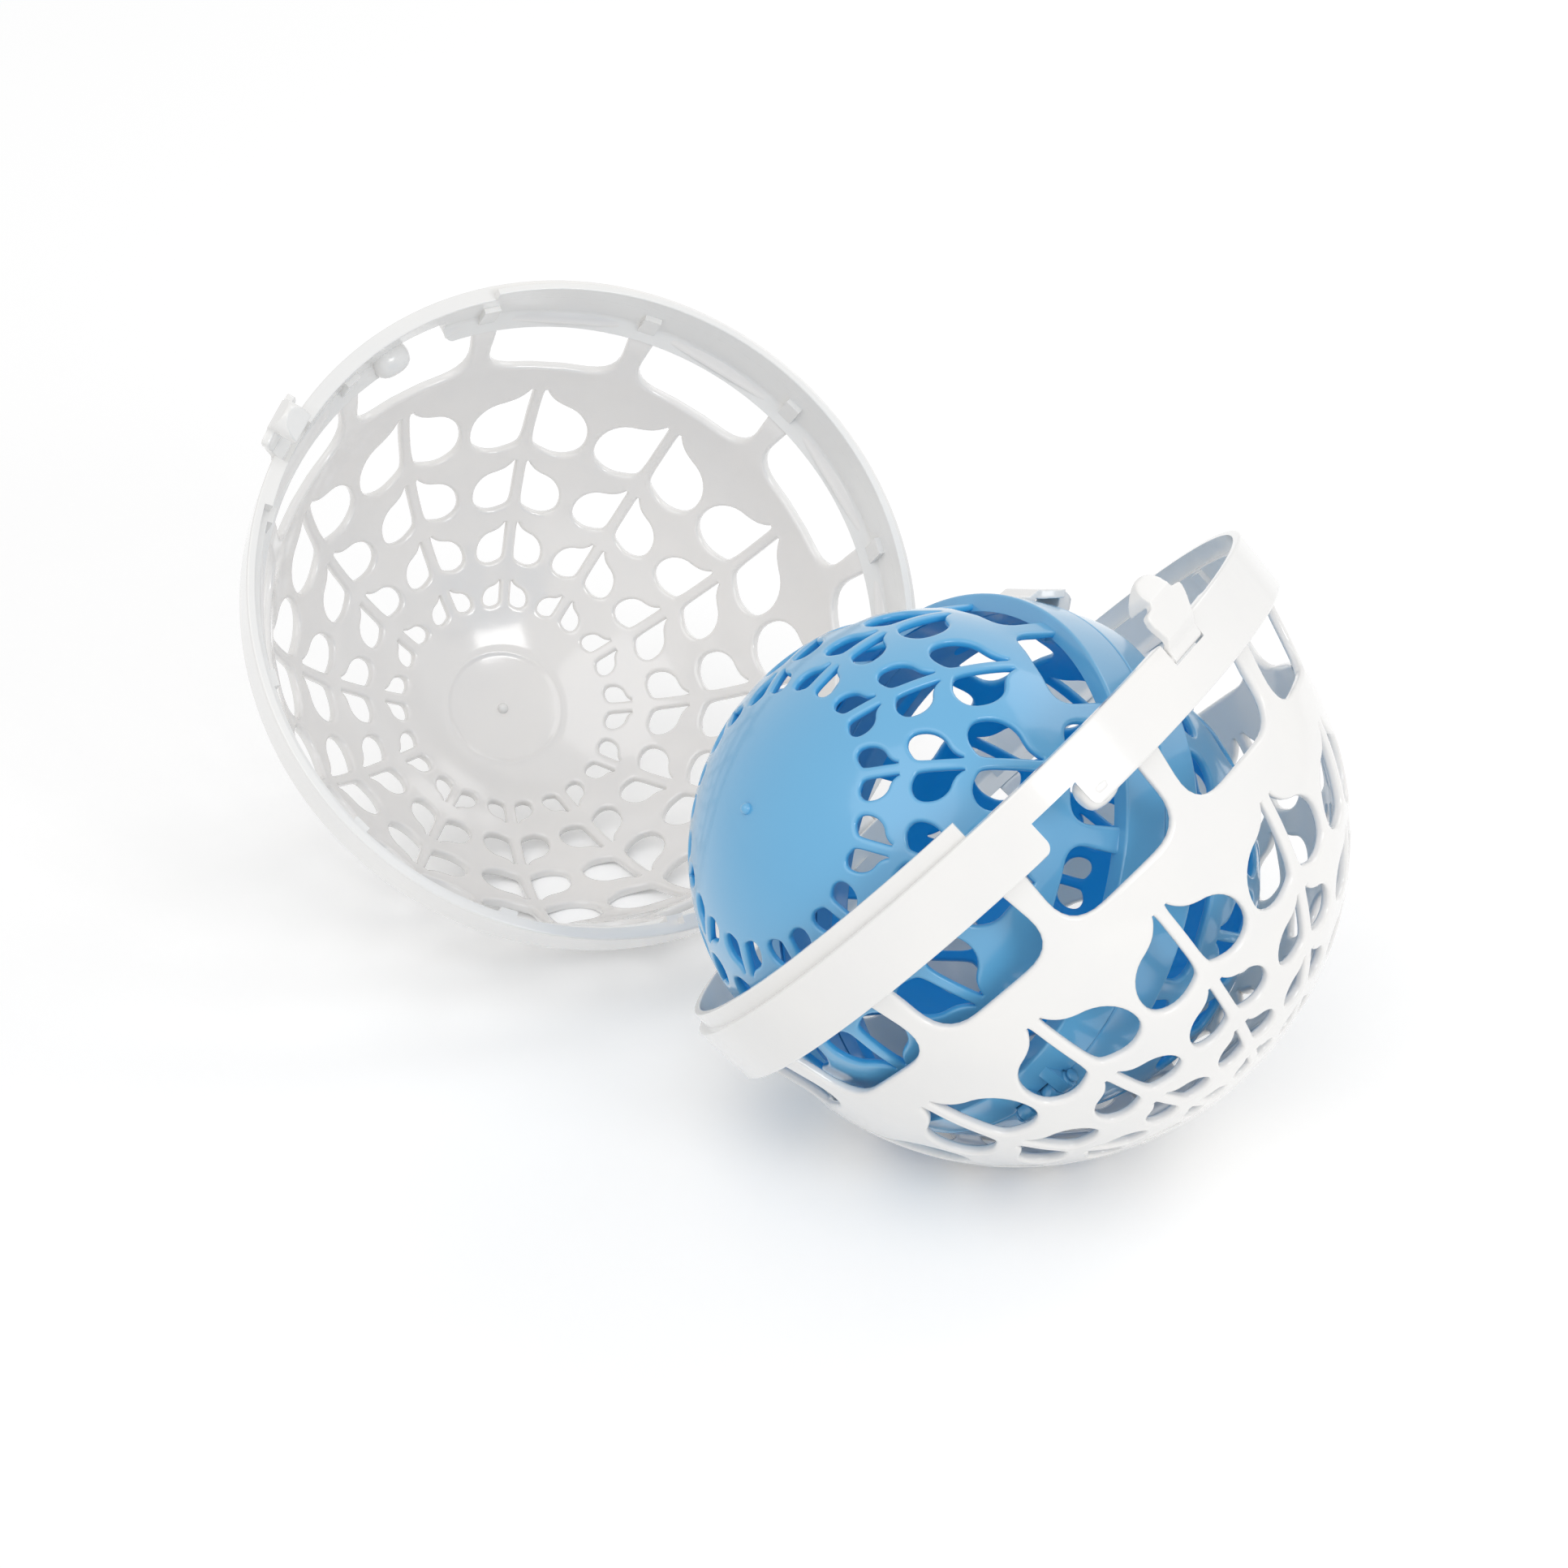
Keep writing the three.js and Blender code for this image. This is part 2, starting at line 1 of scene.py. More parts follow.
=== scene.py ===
import json
import math

import bmesh
import bpy
from mathutils import Matrix, Vector
from mathutils.geometry import delaunay_2d_cdt


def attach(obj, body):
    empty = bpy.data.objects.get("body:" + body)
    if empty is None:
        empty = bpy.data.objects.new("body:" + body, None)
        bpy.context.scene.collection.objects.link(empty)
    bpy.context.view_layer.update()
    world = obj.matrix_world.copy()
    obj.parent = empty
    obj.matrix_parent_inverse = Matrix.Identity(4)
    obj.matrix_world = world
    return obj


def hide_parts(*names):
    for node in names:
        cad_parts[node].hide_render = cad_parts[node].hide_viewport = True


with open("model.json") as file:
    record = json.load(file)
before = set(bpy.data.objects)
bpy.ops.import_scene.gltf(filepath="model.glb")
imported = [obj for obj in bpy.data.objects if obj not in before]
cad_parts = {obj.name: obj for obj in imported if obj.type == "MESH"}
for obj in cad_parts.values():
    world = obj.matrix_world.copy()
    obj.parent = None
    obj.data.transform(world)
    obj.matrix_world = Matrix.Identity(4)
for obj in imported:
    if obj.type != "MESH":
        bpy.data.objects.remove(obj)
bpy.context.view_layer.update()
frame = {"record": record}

# Camera: level, at the height and distance of the photograph, looking down on the open ball.
# Its long lens keeps the near half and the far half at nearly the same scale.
CAMERA_PLACE = (0.0014, -1.1331, 0.6779)
CAMERA_PITCH = math.radians(61.4)
CAMERA_LENS = 124.29
CAMERA_SENSOR = 36.0

camera_data = bpy.data.cameras.new("camera")
camera_data.lens = CAMERA_LENS
camera_data.sensor_width = CAMERA_SENSOR
camera = bpy.data.objects.new("camera", camera_data)
camera.location = CAMERA_PLACE
camera.rotation_euler = (CAMERA_PITCH, 0.0, 0.0)
bpy.context.scene.collection.objects.link(camera)
bpy.context.scene.camera = camera

# White outer halves: injection moulded polypropylene bowls, one moulding used twice.
# Each is a thin dome pierced by rows of leaf shaped drain openings, with struts between
# large windows under a plain band, a locating tongue on the rim and two hinge knuckles.
MM = 0.001
FULL_TURN = 360.0
COLUMNS = 12
COLUMN_TURN = 2 * math.pi / COLUMNS
CLEARANCE = 0.35
OPEN_ANGLE = 94.7
outer = dict(
    dome_radius=76.0, dome_drop=17.0, wall=2.4, cap_arc=24.0, edge=0.85,
    band_radius=84.0, band_draft=1.0, band_height=15.0, rim_wall=4.0, strut_top=79.4,
    rib=3.0, tongue_wall=1.7, tongue_height=4.0, tongue_start=30.0, tongue_sweep=120.0,
    window_height=16.6, window_width=34.8, window_corner=9.5, first_column=15.0,
    leaf_rows=((28.0, 34.6, 11.4), (39.8, 50.6, 16.8), (54.8, 68.8, 22.6), (72.8, 94.0, 30.2)),
    hinge_angle=120.0, hinge_radius=86.0, knuckle_radius=3.0, knuckle_length=5.9,
    lug_height=12.0, lug_root=2.5, latch_spread=17.0, catch_ease=2.6,
    ring_radius=15.5, gate_inset=2.4,
)
# One lobe of a leaf beside its rib: across from the rib to the widest place, along from heel to tip
LEAF_LOBE = (
    (0.0, 0.14), (0.10, 0.03), (0.56, -0.07), (1.0, 0.08), (1.06, 0.42),
    (0.80, 0.68), (0.32, 0.78), (0.10, 0.92), (0.0, 1.06), (0.0, 0.60),
)
LEAF_ROUNDS = 2
LEAF_CUT = 0.25
STRUT_SINK = 4.0
WINDOW_SINK = 0.45
WINDOW_TOP_CORNER = 0.8
CORNER_STEPS = 7
CORNER_HOLD = 1.4
FACE_GRID = 3.4
FACE_KEEP_OFF = 0.4 * FACE_GRID
FACE_WELD = 1e-5
INSIDE_BORDER = 1
EDGE_STEPS = 3
EDGE_APRON = 0.5
CAP_STEPS = 6
CAP_RINGS = 12
RING_RELIEF = 0.16
RING_HALF_WIDTH = 0.7
RING_STATIONS = (-1.0, -0.5, 0.0, 0.5, 1.0)
GATE_SIZE = (1.4, 1.4, 1.5)
SEAM = 0.01
CUT = 4.0
BAND_STEPS = 144
BAND_ROUNDING = 0.7
RIM_ROUNDING = 0.42
HEEL_ROUNDING = 0.21
TONGUE_STEPS = 41
TONGUE_FOOT_ROUNDING = 0.2
TONGUE_TOP_ROUNDING = 0.4
NOTCH_WIDTH = 12.1
NOTCH_FLOOR = -5.95
CATCH_WIDTH = 13.0
CATCH_TOP = -7.45
BAR_END = 0.7
BAR_RELIEF = 1.4
BOSS_LENGTH = 9.5
BOSS_RADIUS = 4.3
BOSS_DROP = 1.2
BOSS_REACH = 1.0
BOSS_BLUNT = 0.12
LUG_BACK_SHARE = 0.9
LUG_FRONT_SHARE = 0.6
LUG_TOP_SHARE = 1 / 3
KNUCKLE_BEVEL_SHARE = 0.15
ROD_STEPS = 32
ROUND_STEPS = 12
HOLE_SIDES = 8
SHARP_ANGLE = math.radians(50.0)
# The second colour goes on the wall's inner face: a slightly warmer white that is painted shade and
# painted light through the wall.
white_look = {
    "Colour": (0.92, 0.91, 0.89, 1.0), "Painted shade colour": (0.93, 0.905, 0.88, 1.0),
    "Roughness": 0.1, "Flow": 0.5, "Polish": 0.6, "Deep polish": 1.0,
}
COAT_ROUGHNESS = 0.1
PLASTIC_IOR = 1.49
FLOW_SCALE = 38.0
FLOW_DETAIL = 3.0
FLOW_RANGE = (0.3, 0.7)
FLOW_SHADE = (0.93, 0.94, 0.96, 1.0)
FLOW_ROUGHNESS = 0.12
SKIN_SCALE = 900.0
SKIN_DETAIL = 2.0
SKIN_STRENGTH = 0.05
SKIN_DEPTH = 0.0003


def joint(name):
    """Joint of that name in the part's record."""
    return next(j for j in frame["record"]["behaviour"]["joints"] if j["name"] == name)


def half_place(along, axis, hinge_spot, half):
    """Frame of a half, in the row frame: its rim plane at zero and its opening toward its own +Z."""
    outward = along.cross(axis)
    turn = Matrix.Rotation(-math.radians(half["hinge_angle"]), 3, axis)
    across = turn @ outward
    place = Matrix((across, axis.cross(across), axis)).transposed().to_4x4()
    place.translation = hinge_spot - outward * half["hinge_radius"] * MM
    return place


def turned_half(place, half, opening):
    """Frame of the second half, turned over and swung about the hinge by the opening angle."""
    turn = math.radians(half["hinge_angle"])
    outward = Vector((math.cos(turn), math.sin(turn), 0.0))
    along = Vector((-math.sin(turn), math.cos(turn), 0.0))
    hinge = Matrix.Translation(outward * half["hinge_radius"] * MM)
    swing = Matrix.Rotation(math.radians(opening), 4, along)
    over = Matrix.Rotation(math.pi, 4, outward)
    return place @ hinge @ swing @ hinge.inverted() @ over


def lever_angle(half):
    """Where on the rim a half's own lever sits, across from the hinge."""
    return half["hinge_angle"] + FULL_TURN / 2 + half["latch_spread"]


def catch_angle(half):
    """Where on the rim the catch for the other half's lever lies."""
    return half["hinge_angle"] + FULL_TURN / 2 - half["latch_spread"]


def dome_centre(half):
    """Middle of the dome's sphere."""
    return Vector((0.0, 0.0, -half["dome_drop"]))


def last_arc(half):
    """Arc length from the pole to the foot of the windows."""
    foot = half["band_height"] + CLEARANCE + half["window_height"]
    return half["dome_radius"] * math.acos((foot - half["dome_drop"]) / half["dome_radius"])


def strut_length(half):
    """Length of a strut from the foot of the windows to the band."""
    angle = last_arc(half) / half["dome_radius"]
    foot = Vector((math.sin(angle), -math.cos(angle))) * half["dome_radius"]
    foot.y -= half["dome_drop"]
    return (Vector((half["strut_top"], -half["band_height"])) - foot).length


def wall_spot(half, arc, inset):
    """Radius and height of the dome wall, at an arc length from the pole and a depth in the wall."""
    radius = half["dome_radius"] - inset
    end = last_arc(half)
    angle = min(arc, end) / half["dome_radius"]
    low = Vector((radius * math.sin(angle), -half["dome_drop"] - radius * math.cos(angle)))
    if arc <= end:
        return low
    top = Vector((half["strut_top"] - inset, -half["band_height"]))
    return low.lerp(top, (arc - end) / strut_length(half))


def wall_point(half, flat, inset):
    """Point in the wall for a place on a flattened column: across from its middle, arc from the pole."""
    sunk = max(0.0, flat.y - last_arc(half) - strut_length(half)) / STRUT_SINK
    spot = wall_spot(half, flat.y, inset * max(0.0, 1.0 - sunk))
    around = wall_spot(half, flat.y, 0.0).x
    turn = flat.x / around if around else 0.0
    return Vector((spot.x * math.cos(turn), spot.x * math.sin(turn), spot.y))


def rounded_corner(before, corner, after, reach):
    """Points that round a corner, from a reach before it to the same reach after it."""
    start = corner + (before - corner).normalized() * reach
    end = corner + (after - corner).normalized() * reach
    steps = [k / CORNER_STEPS for k in range(CORNER_STEPS + 1)]
    return [start * (1 - t) ** 2 + corner * 2 * t * (1 - t) + end * t ** 2 for t in steps]


def softened(points, reaches):
    """Closed outline with each corner rounded, and a point held close to each end of the rounding."""
    result = []
    for k, corner in enumerate(points):
        before = points[k - 1]
        after = points[(k + 1) % len(points)]
        hold = reaches[k] * CORNER_HOLD
        result.append(corner + (before - corner).normalized() * hold)
        result.extend(rounded_corner(before, corner, after, reaches[k]))
        result.append(corner + (after - corner).normalized() * hold)
    return result


def leaf_outline(half, row, side):
    """Rounded outline of one lobe of a leaf on the flattened column."""
    heel, tip, spread = row
    rib = half["rib"] / 2
    reach = spread / 2 - rib
    points = [Vector((side * (rib + a * reach), heel + b * (tip - heel))) for a, b in LEAF_LOBE]
    for _ in range(LEAF_ROUNDS):
        cut = []
        for k, point in enumerate(points):
            following = points[(k + 1) % len(points)]
            cut.append(point.lerp(following, LEAF_CUT))
            cut.append(point.lerp(following, 1.0 - LEAF_CUT))
        points = cut
    return points


def window_outline(half):
    """Outline of a window: straight against the band, rounded at its two lower corners."""
    side = half["window_width"] / 2
    foot = last_arc(half)
    top = foot + strut_length(half) + STRUT_SINK * WINDOW_SINK
    corners = [Vector(spot) for spot in ((-side, foot), (side, foot), (side, top), (-side, top))]
    low = half["window_corner"]
    return softened(corners, [low, low, WINDOW_TOP_CORNER, WINDOW_TOP_CORNER])


def spread_outline(outline, distance):
    """Outline moved away from its opening by a distance."""
    area = sum(a.x * b.y - b.x * a.y for a, b in zip(outline, outline[1:] + outline[:1]))
    sign = 1.0 if area > 0 else -1.0
    moved = []
    for k, point in enumerate(outline):
        along = (outline[(k + 1) % len(outline)] - outline[k - 1]).normalized()
        moved.append(point + Vector((along.y, -along.x)) * sign * distance)
    return moved


def inside_outline(point, outline):
    """Whether a point lies within a closed outline."""
    inside = False
    for a, b in zip(outline, outline[1:] + outline[:1]):
        if (a.y > point.y) != (b.y > point.y):
            if point.x < a.x + (point.y - a.y) / (b.y - a.y) * (b.x - a.x):
                inside = not inside
    return inside


def column_border(half):
    """Border of one flattened column, from the pole cap up one side and down the other."""
    start = half["cap_arc"]
    end = last_arc(half) + strut_length(half) + STRUT_SINK
    rows = round((end - start) / FACE_GRID)
    arcs = [start + (end - start) * k / rows for k in range(rows + 1)]
    edge = [Vector((wall_spot(half, arc, 0.0).x * COLUMN_TURN / 2, arc)) for arc in arcs]
    mirrored = [Vector((-spot.x, spot.y)) for spot in edge]
    foot = [mirrored[0].lerp(edge[0], k / CAP_STEPS) for k in range(1, CAP_STEPS)]
    top = [edge[-1].lerp(mirrored[-1], k / CAP_STEPS) for k in range(1, CAP_STEPS)]
    return foot + edge + top + mirrored[::-1]


def wall_vert(bm, half, flat, inset):
    """Vertex in the wall that keeps how deep it lies."""
    vert = bm.verts.new(wall_point(half, flat, inset))
    vert[bm.verts.layers.float["depth"]] = inset / half["wall"]
    return vert


def add_face(bm, corners, facing):
    """Face that points to the given side."""
    face = bm.faces.new(corners)
    face.normal_update()
    if face.normal.dot(facing) < 0:
        face.normal_flip()
    face.smooth = True


def face_spots(half, border, rims):
    """Spots spread evenly over a flattened column, clear of its openings and its sides."""
    keep_off = [spread_outline(rim, FACE_KEEP_OFF) for rim in rims]
    low = half["cap_arc"]
    high = border[len(border) // 2].y
    spots = []
    for j in range(1, int((high - low) / FACE_GRID)):
        arc = low + j * FACE_GRID
        reach = wall_spot(half, arc, 0.0).x * COLUMN_TURN / 2 - FACE_GRID / 2
        count = int(reach / FACE_GRID)
        for i in range(-count, count + 1):
            spot = Vector((i * FACE_GRID + (j % 2 - 0.5) * FACE_GRID / 2, arc))
            if abs(spot.x) < reach and not any(inside_outline(spot, o) for o in keep_off):
                spots.append(spot)
    return spots


def column_faces(bm, half, outlines):
    """Both faces of a column; gives the vertices round each opening on the outer and inner face."""
    rims = [spread_outline(outline, half["edge"] + EDGE_APRON) for outline in outlines]
    border = column_border(half)
    spots = list(border)
    loops = [list(range(len(border)))]
    for rim in rims:
        loops.append(list(range(len(spots), len(spots) + len(rim))))
        spots.extend(rim)
    spots.extend(face_spots(half, border, rims))
    edges = [(loop[k - 1], loop[k]) for loop in loops for k in range(len(loop))]
    tiling = delaunay_2d_cdt(spots, edges, [], INSIDE_BORDER, FACE_WELD)
    flats, _, triangles, origins, _, _ = tiling
    new_index = {old: new for new, olds in enumerate(origins) for old in olds}
    outside = [wall_vert(bm, half, flat, 0.0) for flat in flats]
    inside = [wall_vert(bm, half, flat, half["wall"]) for flat in flats]
    for triangle in triangles:
        middle = sum((flats[k] for k in triangle), Vector((0.0, 0.0))) / len(triangle)
        if any(inside_outline(middle, rim) for rim in rims):
            continue
        facing = outside[triangle[0]].co - dome_centre(half)
        add_face(bm, [outside[k] for k in triangle], facing)
        add_face(bm, [inside[k] for k in triangle], -facing)
    return [[[face[new_index[k]] for k in loop] for face in (outside, inside)] for loop in loops[1:]]


def edge_profile(half):
    """Rounded edge through the wall: how far from the opening, how deep, and how far it has turned."""
    edge = half["edge"]
    turns = [math.pi / 2 * k / EDGE_STEPS for k in range(EDGE_STEPS + 1)]
    rounding = [(edge * (1 - math.sin(t)), edge * (1 - math.cos(t)), t) for t in turns]
    deeper = [(out, half["wall"] - into, math.pi - t) for out, into, t in reversed(rounding)]
    return rounding + deeper


def round_edge(bm, half, outline, outside, inside):
    """Rounded edge of one opening, from the outer face through the wall to the inner face."""
    profile = edge_profile(half)
    rings = [outside]
    for out, into, _ in profile:
        rings.append([wall_vert(bm, half, flat, into) for flat in spread_outline(outline, out)])
    rings.append(inside)
    tilts = [0.0] + [t for _, _, t in profile] + [math.pi]
    middle = sum((vert.co for vert in outside), Vector()) / len(outside)
    for k in range(len(rings) - 1):
        tilt = (tilts[k] + tilts[k + 1]) / 2
        for i in range(len(outside)):
            corners = [rings[k][i - 1], rings[k][i], rings[k + 1][i], rings[k + 1][i - 1]]
            outward = (corners[0].co - dome_centre(half)).normalized()
            along = corners[1].co - corners[0].co
            into_hole = along.cross(outward).normalized()
            if into_hole.dot(middle - corners[0].co) < 0:
                into_hole = -into_hole
            add_face(bm, corners, outward * math.cos(tilt) + into_hole * math.sin(tilt))


def pole_relief(half, arc):
    """Low raised ring on the inner face of the pole disc."""
    near = abs(arc - half["ring_radius"]) / RING_HALF_WIDTH
    return RING_RELIEF * max(0.0, 1.0 - near * near)


def pole_wedge(bm, half):
    """Wedge of the pole disc that belongs to one column."""
    arcs = [half["cap_arc"] * k / CAP_RINGS for k in range(CAP_RINGS + 1)]
    arcs += [half["ring_radius"] + RING_HALF_WIDTH * step for step in RING_STATIONS]
    rings = []
    for arc in sorted(arcs, reverse=True):
        width = wall_spot(half, arc, 0.0).x * COLUMN_TURN
        shares = [i / CAP_STEPS - 0.5 for i in range(CAP_STEPS + 1)] if arc else [0.0]
        rings.append([Vector((width * share, arc)) for share in shares])
    for inset, sign in ((0.0, 1.0), (half["wall"], -1.0)):
        placed = []
        for ring in rings:
            raised = pole_relief(half, ring[0].y) if inset else 0.0
            placed.append([wall_vert(bm, half, flat, inset + raised) for flat in ring])
        for upper, lower in zip(placed, placed[1:]):
            for i in range(CAP_STEPS):
                end = lower if len(lower) == 1 else [lower[i + 1], lower[i]]
                facing = (upper[i].co - dome_centre(half)) * sign
                add_face(bm, [upper[i], upper[i + 1]] + end, facing)


def finished_mesh(bm, name):
    """Mesh of what has been put together vertex by vertex."""
    mesh = bpy.data.meshes.new(name)
    bm.to_mesh(mesh)
    bm.free()
    return mesh


def column_mesh(half):
    """One column of the dome, with its leaves, its window, its wedge of the pole and rounded edges."""
    bm = bmesh.new()
    bm.verts.layers.float.new("depth")
    outlines = [leaf_outline(half, row, side) for row in half["leaf_rows"] for side in (-1, 1)]
    outlines.append(window_outline(half))
    for outline, (outside, inside) in zip(outlines, column_faces(bm, half, outlines)):
        round_edge(bm, half, outline, outside, inside)
    pole_wedge(bm, half)
    return finished_mesh(bm, "column")


def add_sockets(tree, side, kinds):
    """Named sockets on one side of a node group; gives their identifiers."""
    identifiers = {}
    for name, kind in kinds:
        socket = tree.interface.new_socket(name, in_out=side, socket_type="NodeSocket" + kind)
        identifiers[name] = socket.identifier
    return identifiers


def column_ring():
    """Node tree that repeats a column round the axis and welds its seams."""
    tree = bpy.data.node_groups.new("column_ring", "GeometryNodeTree")
    identifiers = add_sockets(tree, "INPUT", (
        ("Column", "Geometry"), ("Columns", "Int"), ("First turn", "Float"),
        ("Seam", "Float"), ("Plastic", "Material"),
    ))
    add_sockets(tree, "OUTPUT", (("Dome", "Geometry"),))
    given = tree.nodes.new("NodeGroupInput")
    done = tree.nodes.new("NodeGroupOutput")
    points = tree.nodes.new("GeometryNodePoints")
    index = tree.nodes.new("GeometryNodeInputIndex")
    share = tree.nodes.new("ShaderNodeMath")
    share.operation = "DIVIDE"
    turn = tree.nodes.new("ShaderNodeMath")
    turn.operation = "MULTIPLY_ADD"
    turn.inputs[1].default_value = 2 * math.pi
    rotation = tree.nodes.new("FunctionNodeAxisAngleToRotation")
    rotation.inputs["Axis"].default_value = (0.0, 0.0, 1.0)
    instances = tree.nodes.new("GeometryNodeInstanceOnPoints")
    realize = tree.nodes.new("GeometryNodeRealizeInstances")
    weld = tree.nodes.new("GeometryNodeMergeByDistance")
    finish = tree.nodes.new("GeometryNodeSetMaterial")
    link = tree.links.new
    link(given.outputs["Columns"], points.inputs["Count"])
    link(index.outputs[0], share.inputs[0])
    link(given.outputs["Columns"], share.inputs[1])
    link(share.outputs[0], turn.inputs[0])
    link(given.outputs["First turn"], turn.inputs[2])
    link(turn.outputs[0], rotation.inputs["Angle"])
    link(points.outputs[0], instances.inputs["Points"])
    link(given.outputs["Column"], instances.inputs["Instance"])
    link(rotation.outputs[0], instances.inputs["Rotation"])
    link(instances.outputs[0], realize.inputs[0])
    link(realize.outputs[0], weld.inputs["Geometry"])
    link(given.outputs["Seam"], weld.inputs["Distance"])
    link(weld.outputs[0], finish.inputs["Geometry"])
    link(given.outputs["Plastic"], finish.inputs["Material"])
    link(finish.outputs[0], done.inputs[0])
    return tree, identifiers


COLUMN_TREE, COLUMN_INPUTS = column_ring()


def loose_object(name, mesh):
    """Object for a mesh, in the scene."""
    piece = bpy.data.objects.new(name, mesh)
    bpy.context.scene.collection.objects.link(piece)
    return piece


def evaluated_mesh(piece):
    """Plain mesh of an object with its modifiers applied; the object itself goes."""
    graph = bpy.context.evaluated_depsgraph_get()
    mesh = bpy.data.meshes.new_from_object(piece.evaluated_get(graph))
    bpy.data.objects.remove(piece)
    return mesh


def cut_step(piece, operation, mesh):
    """Step that cuts, trims or joins a piece with another mesh; gives the object that it uses."""
    tool = loose_object("tool", mesh)
    step = piece.modifiers.new(operation.lower(), "BOOLEAN")
    step.operation = operation
    step.solver = "EXACT"
    step.object = tool
    return tool


def cut_away(mesh, cutters):
    """Mesh with all the cutters taken out of it."""
    piece = loose_object("blank", mesh)
    tools = [cut_step(piece, "DIFFERENCE", cutter) for cutter in cutters]
    result = evaluated_mesh(piece)
    for tool in tools:
        bpy.data.objects.remove(tool)
    return result


def lofted_mesh(name, sections, whole, smooth):
    """Skin over a row of like sections, joined round to the first one or closed at both ends."""
    bm = bmesh.new()
    rings = [[bm.verts.new(spot) for spot in section] for section in sections]
    for k in range(len(rings) if whole else len(rings) - 1):
        here = rings[k]
        there = rings[(k + 1) % len(rings)]
        for i in range(len(here)):
            bm.faces.new((here[i - 1], here[i], there[i], there[i - 1])).smooth = smooth
    if not whole:
        bm.faces.new(rings[0])
        bm.faces.new(rings[-1])
    bmesh.ops.recalc_face_normals(bm, faces=bm.faces)
    return finished_mesh(bm, name)


def ring_part(section, from_angle, sweep, steps):
    """Closed section turned round the axis, all the way or over part of a turn."""
    whole = sweep >= FULL_TURN
    sections = []
    for k in range(steps if whole else steps + 1):
        turn = math.radians(from_angle + sweep * k / steps)
        sections.append([Vector((p.x * math.cos(turn), p.x * math.sin(turn), p.y)) for p in section])
    return lofted_mesh("ring", sections, whole, True)


def on_side(angle, radius, height):
    """Place on the side of a half: x along the rim, y up and z outward."""
    turn = math.radians(angle)
    along = Vector((-math.sin(turn), math.cos(turn), 0.0))
    outward = Vector((math.cos(turn), math.sin(turn), 0.0))
    place = Matrix((along, Vector((0.0, 0.0, 1.0)), outward)).transposed().to_4x4()
    place.translation = outward * radius + Vector((0.0, 0.0, height))
    return place


def block_mesh(angle, width, low, high, from_radius, to_radius):
    """Straight block on the side of a half."""
    bm = bmesh.new()
    place = on_side(angle, (from_radius + to_radius) / 2, (low + high) / 2)
    size = Matrix.Diagonal((width, high - low, to_radius - from_radius, 1.0))
    bmesh.ops.create_cube(bm, size=1.0, matrix=place @ size)
    return finished_mesh(bm, "block")


def rod_mesh(angle, radius, height, stations, steps):
    """Turned rod along the rim: places along it, each with its radius, closed at both ends."""
    place = on_side(angle, radius, height)
    turns = [2 * math.pi * k / steps for k in range(steps)]
    sections = []
    for x, size in stations:
        spots = [Vector((x, size * math.cos(t), size * math.sin(t))) for t in turns]
        sections.append([place @ spot for spot in spots])
    return lofted_mesh("rod", sections, False, True)


def prism_mesh(outline, low, high, place):
    """Flat outline of y and z, drawn out along x."""
    sections = [[place @ Vector((x, p.y, p.x)) for p in outline] for x in (low, high)]
    return lofted_mesh("prism", sections, False, False)


def catch_cutter(half, ease):
    """Cutter for the lower part of the band at the catch, easing the band's corners at both ends."""
    place = on_side(catch_angle(half), half["band_radius"], 0.0)
    place = place @ Matrix.Rotation(-math.pi / 2, 4, "Y")
    side = CATCH_WIDTH / 2
    foot = -half["band_height"]
    right = [Vector((side, CATCH_TOP))]
    for k in range(CORNER_STEPS + 1):
        turn = math.pi / 2 * k / CORNER_STEPS
        across = side + ease * (1 - math.cos(turn))
        right.append(Vector((across, foot + ease * (1 - math.sin(turn)))))
    right.append(Vector((side + ease, foot - CUT)))
    left = [Vector((-spot.x, spot.y)) for spot in reversed(right)]
    depth = half["band_radius"] - half["strut_top"] + half["wall"] + CUT
    return prism_mesh(right + left, -depth, CUT, place)


def dome_mesh(half, plastic):
    """Whole dome of a half, open where the catch is."""
    piece = loose_object("dome", column_mesh(half))
    modifier = piece.modifiers.new("columns", "NODES")
    modifier.node_group = COLUMN_TREE
    modifier[COLUMN_INPUTS["Columns"]] = COLUMNS
    modifier[COLUMN_INPUTS["First turn"]] = math.radians(half["first_column"])
    modifier[COLUMN_INPUTS["Seam"]] = SEAM
    modifier[COLUMN_INPUTS["Plastic"]] = plastic
    return cut_away(evaluated_mesh(piece), [catch_cutter(half, SEAM)])


def knuckle_meshes(half):
    """Barrels of a half's own two hinge knuckles, each on a lug that stands out from the band."""
    radius = half["knuckle_radius"]
    length = half["knuckle_length"]
    height = half["lug_height"]
    pitch = length + CLEARANCE
    root = half["band_radius"] - half["lug_root"] - half["hinge_radius"]
    lug = [Vector(spot) for spot in (
        (radius, 0.0), (-LUG_BACK_SHARE * radius, 0.0), (root, -LUG_TOP_SHARE * height),
        (root, -height), (radius, -LUG_FRONT_SHARE * radius),
    )]
    place = on_side(half["hinge_angle"], half["hinge_radius"], 0.0)
    bevel = KNUCKLE_BEVEL_SHARE * radius
    meshes = []
    for start in (CLEARANCE / 2 - 2 * pitch, CLEARANCE / 2):
        end = start + length
        stations = (
            (start, radius - bevel), (start + bevel, radius),
            (end - bevel, radius), (end, radius - bevel),
        )
        meshes.append(rod_mesh(half["hinge_angle"], half["hinge_radius"], 0.0, stations, ROD_STEPS))
        meshes.append(prism_mesh(lug, start + bevel, end - bevel, place))
    return meshes


